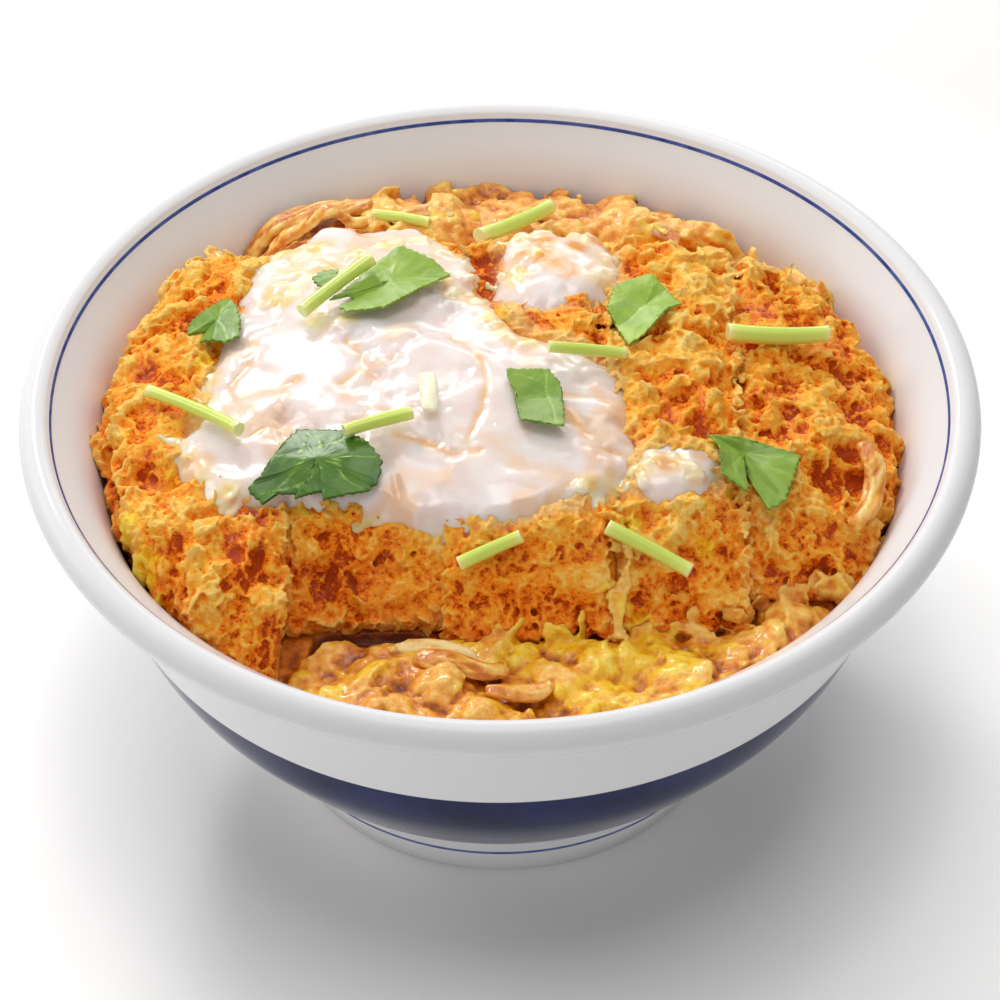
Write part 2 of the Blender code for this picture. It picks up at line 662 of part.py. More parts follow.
def make_leaf(part, support, look):
    cx, cy = (c * MM for c in part["centre"])
    turn = part["turn"]

    def curl(x, y, share):
        across = -(x - cx) * math.sin(turn) + (y - cy) * math.cos(turn)
        wave = LEAF_WAVE * math.sin((x - cx) * math.cos(turn) / LEAF_WAVE_LENGTH)
        return part["curl"] * MM * abs(across) / LEAF_BEND + wave

    size = (LEAF_THICK / MM, LEAF_THICK / MM)
    return patch(part, support, look, size, curl, False, (LEAF_RINGS, 0))


def make_onion(part, support, look):
    """A slice of onion: a flat rounded band along a curved line, narrower at its ends."""
    line = [np.array(p) * MM for p in curve_through(part["line"], 3)]
    count = len(line)
    rows, spots = [], []
    for k, spot in enumerate(line):
        ahead = line[min(k + 1, count - 1)] - line[max(k - 1, 0)]
        across = np.array((ahead[1], -ahead[0])) / np.linalg.norm(ahead)
        t = k / (count - 1)
        taper = ONION_END + (1 - ONION_END) * math.sin(math.pi * (0.12 + 0.76 * t)) ** 0.6
        across = across * part["wide"] * MM * taper
        rows.append([(spot + across * s, up * part["thick"] * MM) for s, up in ONION_SECTION])
        spots.append(max(support.height(*(spot + across * s), ONION_FEEL) for s in (-0.5, 0, 0.5)))
    spots = [max(spots[k], (spots[max(k - 1, 0)] + spots[min(k + 1, count - 1)]) / 2) for k in range(count)]
    points = []
    for row, base in zip(rows, spots):
        points += [(p[0], p[1], base + GAP + up) for p, up in row]
    width = len(ONION_SECTION)
    faces = [tuple(range(width))[::-1], tuple(range((count - 1) * width, count * width))]
    for k in range(count - 1):
        for n in range(width):
            a, b = k * width + n, k * width + (n + 1) % width
            faces.append((a, b, b + width, a + width))
    under = [f for f in faces[2:] if all(i % width in (0, 1, 2, 3) for i in f)]
    lift = max(0.0, GAP - clearance(points, under, support))
    moved = []
    for x, y, z in points:
        x, y = within_wall(x, y, min(z + lift, ONION_MOST))
        moved.append((x, y, z + lift))
    return outward(add_object(part["name"], moved, faces, look))


def outward(thing):
    """Turns every face of a closed mesh outwards."""
    mesh = bmesh.new()
    mesh.from_mesh(thing.data)
    bmesh.ops.recalc_face_normals(mesh, faces=mesh.faces)
    mesh.to_mesh(thing.data)
    mesh.free()
    return thing


def make_stem(part, support, look):
    """A short cut stem, a little bowed, laid at the mean slope of what is under it and clear of it."""
    (ax, ay), (bx, by) = [(x * MM, y * MM) for x, y in part["ends"]]
    radius = part["wide"] * MM / 2
    length = math.hypot(bx - ax, by - ay)
    across = np.array((-(by - ay), bx - ax)) / length

    def middle(t):
        straight = np.array((ax + (bx - ax) * t, ay + (by - ay) * t))
        return straight + across * part["bow"] * MM * 4 * t * (1 - t)

    plan = [middle(k / STEM_RINGS) for k in range(STEM_RINGS + 1)]
    fine = np.linspace(0, 1, STEM_SAMPLES)
    tops = []
    for t in fine:
        under = []
        for s in (-0.8, -0.4, 0.0, 0.4, 0.8):
            rise = radius * (1 - math.sqrt(1 - 0.9 * s * s))
            under.append(support.height(*(middle(t) + across * radius * s), FACE_FEEL) - rise)
        tops.append(max(under))
    slope, start = np.polyfit(fine, tops, 1)
    slope = max(-STEM_SLOPE * length, min(STEM_SLOPE * length, slope))
    start = float(np.max(np.array(tops) - slope * fine)) + GAP
    low, high = start, start + slope
    points = []
    for k, spot in enumerate(plan):
        t = k / STEM_RINGS
        base = low + (high - low) * t + radius
        for n in range(STEM_SIDES):
            angle = 2 * math.pi * (n + 0.5) / STEM_SIDES
            side = across * radius * math.cos(angle)
            points.append((spot[0] + side[0], spot[1] + side[1], base + radius * math.sin(angle)))
    last = STEM_RINGS * STEM_SIDES
    faces = [tuple(range(STEM_SIDES)), tuple(range(last, last + STEM_SIDES))[::-1]]
    for k in range(STEM_RINGS):
        for n in range(STEM_SIDES):
            a, b = k * STEM_SIDES + n, k * STEM_SIDES + (n + 1) % STEM_SIDES
            faces.append((a, a + STEM_SIDES, b + STEM_SIDES, b))
    return outward(add_object(part["name"], points, faces, look))


def main():
    clear_scene()
    porcelain = material("porcelain", PORCELAIN, 0.12)
    turned("bowl", bowl_profile(), BOWL_STEPS, porcelain)
    bed = make_bed(material("egg_and_onion", EGG, 0.35))
    crust = material("crust", CRUST, 0.5)
    support = Support([bed])
    for part in SLICES:
        support.add(make_slice(part, crust))
    white = material("egg_white", EGG_WHITE, 0.2)
    for part in (WHITE_MAIN, WHITE_BACK, WHITE_RIGHT):
        support.add(make_white(part, support, white))
    onion = material("onion", ONION, 0.3)
    for part in ONIONS:
        support.add(make_onion(part, support, onion))
    leaf = material("mitsuba_leaf", LEAF, 0.4)
    for part in LEAVES:
        support.add(make_leaf(part, support, leaf))
    stem = material("mitsuba_stem", STEM, 0.35)
    for part in STEMS:
        support.add(make_stem(part, support, stem))


main()
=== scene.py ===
# Katsudon in its bowl: the finish of every piece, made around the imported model.
import math
import time

import bmesh
import bpy
import numpy as np
from mathutils import Matrix, Vector
from mathutils.bvhtree import BVHTree
from mathutils.kdtree import KDTree


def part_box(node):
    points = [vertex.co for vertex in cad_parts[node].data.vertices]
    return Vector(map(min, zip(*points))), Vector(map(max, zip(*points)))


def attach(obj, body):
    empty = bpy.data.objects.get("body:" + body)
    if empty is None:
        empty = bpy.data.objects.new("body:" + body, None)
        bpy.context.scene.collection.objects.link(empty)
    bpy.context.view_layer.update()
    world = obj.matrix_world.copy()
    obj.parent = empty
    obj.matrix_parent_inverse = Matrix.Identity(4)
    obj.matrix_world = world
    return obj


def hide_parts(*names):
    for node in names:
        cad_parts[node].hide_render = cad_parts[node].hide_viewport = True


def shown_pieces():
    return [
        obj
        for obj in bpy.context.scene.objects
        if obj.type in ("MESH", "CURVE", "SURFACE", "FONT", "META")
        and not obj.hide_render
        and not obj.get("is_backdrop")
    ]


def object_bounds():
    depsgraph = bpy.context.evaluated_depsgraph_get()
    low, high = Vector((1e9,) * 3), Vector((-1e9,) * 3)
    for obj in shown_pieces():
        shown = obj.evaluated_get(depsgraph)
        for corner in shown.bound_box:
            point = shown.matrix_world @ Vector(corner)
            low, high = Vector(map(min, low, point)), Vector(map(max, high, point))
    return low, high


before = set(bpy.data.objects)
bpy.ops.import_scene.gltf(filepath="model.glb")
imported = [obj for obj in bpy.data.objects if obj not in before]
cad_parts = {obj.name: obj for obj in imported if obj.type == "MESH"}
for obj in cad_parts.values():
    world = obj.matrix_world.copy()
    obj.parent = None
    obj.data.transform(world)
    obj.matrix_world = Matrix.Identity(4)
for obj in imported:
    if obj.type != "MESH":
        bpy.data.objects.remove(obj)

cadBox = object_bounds()
mm = 0.001
started = time.time()


def report(stage):
    print(f"{stage} ({time.time() - started:.0f} s)")


# Meshes as plain arrays, in millimetres

def meshFrom(name, points, faces, scale=1.0):
    mesh = bpy.data.meshes.new(name)
    count, corners = faces.shape
    mesh.vertices.add(len(points))
    mesh.vertices.foreach_set("co", (points * scale).astype(np.float32).ravel())
    mesh.loops.add(count * corners)
    mesh.loops.foreach_set("vertex_index", faces.astype(np.int32).ravel())
    mesh.polygons.add(count)
    mesh.polygons.foreach_set("loop_start", np.arange(0, count * corners, corners, dtype=np.int32))
    mesh.update(calc_edges=True)
    return mesh


def arraysOf(mesh, scale=1.0):
    points = np.empty(len(mesh.vertices) * 3, np.float32)
    mesh.vertices.foreach_get("co", points)
    points = points.reshape(-1, 3).astype(float) * scale
    if len(mesh.loops) == 4 * len(mesh.polygons):
        faces = np.empty(len(mesh.loops), np.int32)
        mesh.loops.foreach_get("vertex_index", faces)
        return points, faces.reshape(-1, 4)
    mesh.calc_loop_triangles()
    faces = np.empty(len(mesh.loop_triangles) * 3, np.int32)
    mesh.loop_triangles.foreach_get("vertices", faces)
    return points, faces.reshape(-1, 3)


def nodeArrays(name):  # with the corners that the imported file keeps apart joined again
    points, faces = arraysOf(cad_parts[name].data, 1 / mm)
    _, first, index = np.unique(np.round(points, 2), axis=0, return_index=True, return_inverse=True)
    faces = index.reshape(-1)[faces]
    whole = (faces[:, 0] != faces[:, 1]) & (faces[:, 1] != faces[:, 2]) & (faces[:, 2] != faces[:, 0])
    return points[first], faces[whole]


def inTriangles(faces):
    if faces.shape[1] == 3:
        return faces
    return np.concatenate([faces[:, [0, 1, 2]], faces[:, [0, 2, 3]]])


def together(*parts):
    points, faces, start = [], [], 0
    for somePoints, someFaces in parts:
        points.append(somePoints)
        faces.append(inTriangles(someFaces) + start)
        start += len(somePoints)
    return np.concatenate(points), np.concatenate(faces)


def through(points, faces, *steps):  # what Blender's modifiers make of a shape
    thing = bpy.data.objects.new("passing", meshFrom("passing", points, faces))
    bpy.context.scene.collection.objects.link(thing)
    for kind, settings in steps:
        modifier = thing.modifiers.new(kind.lower(), kind)
        for key, value in settings.items():
            setattr(modifier, key, value)
    graph = bpy.context.evaluated_depsgraph_get()
    shaped = thing.evaluated_get(graph)
    result = arraysOf(shaped.to_mesh())
    shaped.to_mesh_clear()
    mesh = thing.data
    bpy.data.objects.remove(thing, do_unlink=True)
    bpy.data.meshes.remove(mesh)
    return result


def skin(voxel):
    return ("REMESH", {"mode": "VOXEL", "voxel_size": voxel})


def soften(times, share=0.5):
    return ("SMOOTH", {"iterations": times, "factor": share})


def thin(share):
    return ("DECIMATE", {"ratio": min(1.0, share)})


def normalsOf(points, faces):
    faces = inTriangles(faces)
    a, b, c = (points[faces[:, k]] for k in range(3))
    across = np.cross(b - a, c - a)
    normals = np.zeros_like(points)
    for k in range(3):
        for axis in range(3):
            normals[:, axis] += np.bincount(faces[:, k], across[:, axis], len(points))
    return normals / np.maximum(np.linalg.norm(normals, axis=1), 1e-12)[:, None]


def standing(points, faces, rounds):  # how far each place stands out of its surroundings
    softened, _ = through(points, faces, soften(rounds))
    return np.einsum("ij,ij->i", points - softened, normalsOf(points, faces))


def within(a, b, c, pick, rng):  # a random place in each picked triangle
    u, v = rng.random((2, len(pick), 1))
    over = u + v > 1
    u, v = np.where(over, 1 - u, u), np.where(over, 1 - v, v)
    return a[pick] + u * (b - a)[pick] + v * (c - a)[pick]


def scattered(points, faces, wanted, count, rng):  # random places on the wanted triangles, and their normals
    faces = inTriangles(faces)[wanted]
    a, b, c = (points[faces[:, k]] for k in range(3))
    across = np.cross(b - a, c - a)
    area = np.linalg.norm(across, axis=1)
    pick = rng.choice(len(faces), count, p=area / area.sum())
    return within(a, b, c, pick, rng), (across / np.maximum(area, 1e-12)[:, None])[pick]


def tubeFaces(rings, sides):  # round a closed tube, with flat ends
    faces = []
    for n in range(rings - 1):
        for m in range(sides):
            a, b = n * sides + m, n * sides + (m + 1) % sides
            faces += [(a, b, b + sides), (a, b + sides, a + sides)]
    last = (rings - 1) * sides
    for m in range(1, sides - 1):
        faces += [(0, m + 1, m), (last, last + m, last + m + 1)]
    return np.array(faces)


# Repeatable noise on arrays of places

def hashed(cell, seed):
    n = (cell[..., 0] * 73856093) ^ (cell[..., 1] * 19349663) ^ (cell[..., 2] * 83492791) ^ (seed * 26544357)
    n &= 0xFFFFFFFF
    for _ in range(2):
        n = ((n ^ (n >> 16)) * 0x45D9F3B) & 0xFFFFFFFF
    return (n ^ (n >> 16)) / 4294967295.0


def softNoise(places, size, seed):  # from -1 to 1, with lumps of about that size
    p = places / size + seed * 3.17
    cell = np.floor(p).astype(np.int64)
    f = p - cell
    f = f * f * (3 - 2 * f)
    total = np.zeros(len(p))
    for corner in np.ndindex(2, 2, 2):
        weight = np.prod(np.where(np.array(corner), f, 1 - f), axis=1)
        total += weight * hashed(cell + np.array(corner), seed)
    return 2 * total - 1


def fractal(places, size, seed, octaves=3, keep=0.5):
    total, share, whole = 0.0, 1.0, 0.0
    for k in range(octaves):
        total = total + share * softNoise(places, size / 2**k, seed + 11 * k)
        whole += share
        share *= keep
    return total / whole


def nearestCentre(places, size, seed):  # distance to the nearest of scattered centres
    p = places / size
    home = np.floor(p).astype(np.int64)
    near = np.full(len(p), 9.0)
    for step in np.ndindex(3, 3, 3):
        cell = home + np.array(step) - 1
        centre = cell + np.stack([hashed(cell, seed + k) for k in range(3)], axis=1)
        near = np.minimum(near, np.linalg.norm(p - centre, axis=1))
    return near


def ramped(low, high, value):
    t = np.clip((value - low) / (high - low), 0, 1)
    return t * t * (3 - 2 * t)


def lineDistance(x, y, line):
    best = np.full(x.shape, 1e9)
    for (ax, ay), (bx, by) in zip(line, line[1:]):
        t = ((x - ax) * (bx - ax) + (y - ay) * (by - ay)) / ((bx - ax)**2 + (by - ay)**2)
        t = np.clip(t, 0, 1)
        best = np.minimum(best, np.hypot(x - ax - t * (bx - ax), y - ay - t * (by - ay)))
    return best


# Maps seen from above

mapPlan = dict(reach=76.0, step=0.5)
mapSide = int(2 * mapPlan["reach"] / mapPlan["step"]) + 1


def mapPlaces(places):  # x and y counted in cells
    return ((places[:, axis] + mapPlan["reach"]) / mapPlan["step"] for axis in (0, 1))


def mapIndex(places):
    i, j = (np.clip(np.round(at).astype(int), 0, mapSide - 1) for at in mapPlaces(places))
    return j, i


def topMap(points, faces, seed=5):  # the highest place over each cell, and which cells hold any
    rng = np.random.default_rng(seed)
    faces = inTriangles(faces)
    a, b, c = (points[faces[:, k]] for k in range(3))
    area = np.linalg.norm(np.cross(b - a, c - a), axis=1) / 2
    each = np.ceil(area / mapPlan["step"]**2 * 3).astype(int) + 1
    pick = np.repeat(np.arange(len(faces)), each)
    places = within(a, b, c, pick, rng)
    heights = np.full((mapSide, mapSide), -1e9)
    np.maximum.at(heights, mapIndex(places), places[:, 2])
    return heights, heights > -1e8


def blurred(field, width):
    reach = np.fft.fftfreq(mapSide, mapPlan["step"])
    bell = np.exp(-2 * (math.pi * width * reach)**2)
    return np.real(np.fft.ifft2(np.fft.fft2(field) * bell[:, None] * bell[None, :]))


def blurredInside(heights, held, width):
    weight = blurred(held.astype(float), width)
    total = blurred(np.where(held, heights, 0.0), width)
    return np.where(weight > 0.02, total / np.maximum(weight, 0.02), 0.0)


def readMap(field, places):  # between cells
    u, v = (np.clip(at, 0, mapSide - 1.001) for at in mapPlaces(places))
    i, j = u.astype(int), v.astype(int)
    fu, fv = u - i, v - j
    low = field[j, i] * (1 - fu) + field[j, i + 1] * fu
    high = field[j + 1, i] * (1 - fu) + field[j + 1, i + 1] * fu
    return low * (1 - fv) + high * fv


# Pieces and finishes

def addPiece(name, points, faces, look, nodes, values=None):
    mesh = meshFrom(name, points, faces, mm)
    mesh.validate()  # drops the few doubled faces that thinning leaves
    mesh.materials.append(look)
    mesh.shade_smooth()
    for key, data in (values or {}).items():
        mesh.attributes.new(key, "FLOAT", "POINT").data.foreach_set("value", data.astype(np.float32))
    piece = bpy.data.objects.new(name, mesh)
    bpy.context.scene.collection.objects.link(piece)
    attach(piece, "root")
    if nodes:
        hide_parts(*nodes)
    return piece


def newLook(name):
    look = bpy.data.materials.new(name)
    look.use_nodes = True
    tree = look.node_tree
    shader = tree.nodes["Principled BSDF"]
    return look, tree, shader


def addNode(tree, kind, inputs=None, **settings):
    made = tree.nodes.new(kind)
    for key, value in settings.items():
        setattr(made, key, value)
    for key, value in (inputs or {}).items():
        if isinstance(value, bpy.types.NodeSocket):
            tree.links.new(value, made.inputs[key])
        else:
            made.inputs[key].default_value = value
    return made


def linear(*colour):  # from the usual 0 to 255
    out = []
    for c in colour:
        c = c / 255
        out.append(c / 12.92 if c <= 0.04045 else ((c + 0.055) / 1.055)**2.4)
    return (*out, 1.0)


def calc(tree, operation, a, b=0.0, c=0.0):
    return addNode(tree, "ShaderNodeMath", {0: a, 1: b, 2: c}, operation=operation).outputs[0]


def speckle(tree, size, detail=2.0, roughness=0.55):  # noise of that size in millimetres
    place = addNode(tree, "ShaderNodeTexCoord").outputs["Object"]
    inputs = {"Vector": place, "Scale": 1 / (size * mm), "Detail": detail, "Roughness": roughness}
    return addNode(tree, "ShaderNodeTexNoise", inputs).outputs[0]


def asColour(value):  # three numbers are a colour from 0 to 255
    return linear(*value) if isinstance(value, tuple) and len(value) == 3 else value


def blendColours(tree, factor, a, b):
    inputs = {0: factor, 6: asColour(a), 7: asColour(b)}
    return addNode(tree, "ShaderNodeMix", inputs, data_type="RGBA").outputs[2]


def summed(tree, start, *terms):  # each value times its share, added up
    for value, share in terms:
        start = calc(tree, "MULTIPLY_ADD", value, share, start)
    return start


def centred(tree, noise):
    return calc(tree, "SUBTRACT", noise, 0.5)


def ramp(tree, factor, stops):
    made = addNode(tree, "ShaderNodeValToRGB", {0: factor})
    points = made.color_ramp.elements
    while len(points) < len(stops):
        points.new(0.5)
    for point, (place, colour) in zip(points, stops):
        point.position = place
        point.color = asColour(colour) if isinstance(colour, tuple) else (colour, colour, colour, 1.0)
    return made.outputs[0]


def valueOf(tree, name):
    return addNode(tree, "ShaderNodeAttribute", attribute_name=name, attribute_type="GEOMETRY").outputs["Fac"]


def setShader(shader, **values):
    names = {"base": "Base Color", "rough": "Roughness", "ior": "IOR", "normal": "Normal",
             "soft": "Subsurface Weight", "softReach": "Subsurface Radius", "softScale": "Subsurface Scale",
             "coat": "Coat Weight", "coatRough": "Coat Roughness", "coatNormal": "Coat Normal",
             "specular": "Specular IOR Level", "glow": "Emission Strength", "glowColour": "Emission Color"}
    tree = shader.id_data
    for key, value in values.items():
        socket = shader.inputs[names[key]]
        if isinstance(value, bpy.types.NodeSocket):
            tree.links.new(value, socket)
        else:
            socket.default_value = value


def bumped(tree, height, depth, strength=1.0, under=None):
    inputs = {"Height": height, "Distance": depth * mm, "Strength": strength}
    if under is not None:
        inputs["Normal"] = under
    return addNode(tree, "ShaderNodeBump", inputs).outputs[0]


# Camera, light and floor

cameraPlan = dict(lens=180.0, sensor=36.0, distance=867.4, height=79.73, down=41.659,
                  pan=0.00288, tilt=-1.28929, roll=0.38364)


def turned(vector, axis, degrees):
    return Matrix.Rotation(math.radians(degrees), 3, axis) @ vector


def addCamera():
    plan = cameraPlan
    down = math.radians(plan["down"])
    place = Vector((0, -plan["distance"] * math.cos(down), plan["distance"] * math.sin(down)))
    ahead, right = -place.normalized(), Vector((1, 0, 0))
    up = right.cross(ahead)
    ahead, right = turned(ahead, up, plan["pan"]), turned(right, up, plan["pan"])
    ahead, up = turned(ahead, right, plan["tilt"]), turned(up, right, plan["tilt"])
    right, up = turned(right, ahead, plan["roll"]), turned(up, ahead, plan["roll"])
    place.z += plan["height"]
    data = bpy.data.cameras.new("camera")
    data.lens, data.sensor_width = plan["lens"], plan["sensor"]
    data.clip_start, data.clip_end = 0.05, 20.0
    camera = bpy.data.objects.new("camera", data)
    bpy.context.scene.collection.objects.link(camera)
    turn = Matrix((right, up, -ahead)).transposed().to_4x4()
    camera.matrix_world = Matrix.Translation(place * mm) @ turn
    bpy.context.scene.camera = camera


lightPlan = dict(
    lamps=dict(
        key=dict(place=(-250, 600, 600), size=(150, 150), power=2.2, colour=(1.0, 0.985, 0.96)),
        left=dict(place=(-650, 250, 420), size=(300, 300), power=1.05, colour=(1.0, 0.985, 0.965)),
        back=dict(place=(-40, 650, 420), size=(520, 200), power=1.3, colour=(1.0, 0.99, 0.98)),
        top=dict(place=(0, 60, 800), size=(300, 300), power=1.35, colour=(1.0, 1.0, 1.0)),
        front=dict(place=(-640, -400, 320), size=(400, 300), power=0.55, colour=(1.0, 0.98, 0.96)),
    ),
    sky=0.44, skyColour=(1.0, 0.985, 0.97, 1.0), floor=0.88, floorHalf=3.0,
    # painted light: the floor glows in a ring round the foot, lifting the bowl's shadow there
    glowReach=260, glow=[(0.22, 0.0), (0.34, 0.22), (0.55, 0.22), (0.8, 0.0)],  # a ring round the foot
)


def addLight(name, plan):
    data = bpy.data.lights.new(name, "AREA")
    data.shape = "RECTANGLE"
    data.size, data.size_y = (side * mm for side in plan["size"])
    data.energy = plan["power"]
    data.color = plan["colour"]
    light = bpy.data.objects.new(name, data)
    bpy.context.scene.collection.objects.link(light)
    light.location = Vector(plan["place"]) * mm
    aim = Vector((0, 0, 50)) * mm - light.location
    light.rotation_euler = aim.to_track_quat("-Z", "Y").to_euler()


def addStudio():
    for name, plan in lightPlan["lamps"].items():
        addLight(name, plan)
    world = bpy.data.worlds.new("studio")
    bpy.context.scene.world = world
    world.use_nodes = True
    sky = world.node_tree.nodes["Background"]
    sky.inputs["Color"].default_value = lightPlan["skyColour"]
    sky.inputs["Strength"].default_value = lightPlan["sky"]
    look, tree, shader = newLook("paleFloor")
    grey = lightPlan["floor"]
    warm = (grey * 1.01, grey, grey * 0.99, 1)
    tint = blendColours(tree, speckle(tree, 400.0), (grey, grey, grey, 1), warm)
    place = addNode(tree, "ShaderNodeTexCoord").outputs["Object"]
    away = addNode(tree, "ShaderNodeVectorMath", {0: place}, operation="LENGTH").outputs["Value"]
    # painted light: emission in a ring round the foot brightens the floor where the bowl's shadow falls
    glow = ramp(tree, calc(tree, "DIVIDE", away, lightPlan["glowReach"] * mm), lightPlan["glow"])
    setShader(shader, base=tint, rough=0.7, specular=0.2, glow=glow, glowColour=(1.0, 1.0, 1.0, 1.0))
    half = lightPlan["floorHalf"]
    mesh = bpy.data.meshes.new("floor")
    corners = [(-half, -half, 0), (half, -half, 0), (half, half, 0), (-half, half, 0)]
    mesh.from_pydata(corners, [], [(0, 1, 2, 3)])
    mesh.materials.append(look)
    floor = bpy.data.objects.new("floor", mesh)
    bpy.context.scene.collection.objects.link(floor)
    floor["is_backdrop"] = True
    bpy.context.scene.view_settings.view_transform = "Standard"


addCamera()
addStudio()
report("camera, light and floor")


# The bowl, turned, as (radius, height)

bowlPlan = dict(
    steps=210,
    under=[(0.0, 7.0), (33.3, 7.0), (35.4, 0.5), (36.4, 0.0), (39.6, 0.0), (40.1, 0.5), (43.3, 8.0),
           (44.8, 12.3)],
    body=[(44.8, 12.3), (53.1, 21.0), (64.0, 36.0), (69.3, 48.3), (72.2, 60.0), (74.6, 68.6)],
    lipCentre=(80.6, 75.2), lipRound=3.05, lipFrom=-100, lipTo=125,
    inner=[(77.5, 75.9), (73.2, 71.4), (70.7, 67.0), (68.4, 60.0), (65.2, 49.0), (59.4, 36.5), (49.5, 23.8),
           (36.0, 16.4), (18.0, 13.8), (0.0, 13.4)],
    bandTop=48.3, bandFoot=12.3, footLine=8.05, footLineWide=0.95, rimLine=(78.0, 76.6), rimLineWide=0.62,
    footRadius=40.0, fineReach=1.6, fineStep=0.11,
    white=(232, 232, 234), band=[(0.3, (15, 24, 62)), (0.7, (30, 42, 90))],
    line=[(0.3, (38, 62, 140)), (0.75, (92, 112, 178))],
)


def curveThrough(points, parts):  # Catmull-Rom
    points = [np.array(p, float) for p in points]
    ends = [2 * points[0] - points[1]] + points + [2 * points[-1] - points[-2]]
    out = []
    for a, b, c, d in zip(ends, ends[1:], ends[2:], ends[3:]):
        for k in range(parts):
            t = k / parts
            out.append(0.5 * (2 * b + (c - a) * t + (2 * a - 5 * b + 4 * c - d) * t**2
                              + (3 * b - a - 3 * c + d) * t**3))
    out.append(points[-1])
    return out


def innerRadius(height):
    upwards = np.array(bowlPlan["inner"][::-1])
    return np.interp(height, upwards[:, 1], upwards[:, 0])


def withinWall(points, air=0.15):  # pulled in where food would stand in the porcelain
    radius = np.hypot(points[:, 0], points[:, 1])
    most = innerRadius(points[:, 2]) - air
    share = np.where(radius > most, most / np.maximum(radius, 1e-9), 1.0)
    out = points.copy()
    out[:, :2] *= share[:, None]
    return out


def porcelainLook():
    plan = bowlPlan
    look, tree, shader = newLook("porcelain")
    cloud = ramp(tree, speckle(tree, 14.0, 3.0), plan["band"])
    colour = blendColours(tree, valueOf(tree, "band"), plan["white"], cloud)
    worn = ramp(tree, speckle(tree, 3.0, 3.0), plan["line"])
    colour = blendColours(tree, valueOf(tree, "line"), colour, worn)
    wave = speckle(tree, 22.0, 1.0)
    setShader(shader, base=colour, rough=0.09, soft=0.12, softReach=(1.0, 0.9, 0.8), softScale=2 * mm,
              specular=0.09, normal=bumped(tree, wave, 0.12))
    return look


def addBowl():
    plan = bowlPlan
    profile = [np.array(p, float) for p in plan["under"][:-1]]
    profile += curveThrough(plan["body"], 10)
    cx, cz = plan["lipCentre"]
    for degrees in np.linspace(plan["lipFrom"], plan["lipTo"], 30):
        angle = math.radians(degrees)
        out = np.array((math.cos(angle), math.sin(angle)))
        profile.append(np.array((cx, cz)) + plan["lipRound"] * out)
    profile += curveThrough(plan["inner"], 5)
    half = plan["footLineWide"] / 2
    marks = [plan["bandTop"] - 0.12, plan["bandTop"] + 0.12, plan["bandFoot"] - 0.1, plan["bandFoot"] + 0.1]
    marks += [plan["footLine"] + s * half + e for s in (-1, 1) for e in (-0.1, 0.1)]
    extra = []  # more rows where paint begins and ends
    for k, (a, b) in enumerate(zip(profile, profile[1:])):
        extra.append(a)
        cuts = []
        if a[0] > plan["footRadius"] and k < len(plan["under"]) + 10 * (len(plan["body"]) - 1):
            cuts = sorted((m - a[1]) / (b[1] - a[1]) for m in marks if min(a[1], b[1]) < m < max(a[1], b[1]))
        extra += [a + (b - a) * t for t in cuts]
    extra.append(profile[-1])
    profile = []
    rx, rz = plan["rimLine"]
    for a, b in zip(extra, extra[1:]):  # finer rows near the line inside the lip
        near = math.hypot((a[0] + b[0]) / 2 - rx, (a[1] + b[1]) / 2 - rz) < plan["fineReach"]
        parts = max(1, int(np.linalg.norm(b - a) / plan["fineStep"])) if near else 1
        profile += [a + (b - a) * t / parts for t in range(parts)]
    profile.append(extra[-1])
    steps = plan["steps"]
    turn = np.linspace(0, 2 * math.pi, steps, endpoint=False)
    points, faces, rows = [], [], []
    for radius, height in profile:
        if radius < 1e-6:
            rows.append([len(points)])
            points.append((0.0, 0.0, height))
        else:
            rows.append(list(range(len(points), len(points) + steps)))
            points += [(radius * math.cos(t), radius * math.sin(t), height) for t in turn]
    for low, high in zip(rows, rows[1:]):
        for k in range(steps):
            after = (k + 1) % steps
            if len(low) == 1:
                faces += [(low[0], high[after], high[k])]
            elif len(high) == 1:
                faces += [(low[k], low[after], high[0])]
            else:
                faces += [(low[k], low[after], high[after]), (low[k], high[after], high[k])]
    points, faces = np.array(points), np.array(faces)
    radius, height = np.hypot(points[:, 0], points[:, 1]), points[:, 2]
    top = np.argmax(height)
    outside = (np.arange(len(points)) < top) & (radius > plan["footRadius"] - 0.5)
    band = outside & (height < plan["bandTop"]) & (height > plan["bandFoot"])
    foot = outside & (np.abs(height - plan["footLine"]) < plan["footLineWide"] / 2)
    rim = (np.arange(len(points)) > top) & (np.hypot(radius - rx, height - rz) < plan["rimLineWide"] / 2)
    values = {"band": band.astype(float), "line": (foot | rim).astype(float)}
    addPiece("bowlGlazed", points, faces, porcelainLook(), ["bowl"], values)
    report(f"bowl, {len(faces)} triangles")


addBowl()


# Crumb: the flakes and pits of the soaked crust

sphere = bmesh.new()
bmesh.ops.create_icosphere(sphere, subdivisions=2, radius=1.0)
ballPoints = np.array([v.co for v in sphere.verts])
ballFaces = np.array([[v.index for v in f.verts] for f in sphere.faces])
sphere.free()


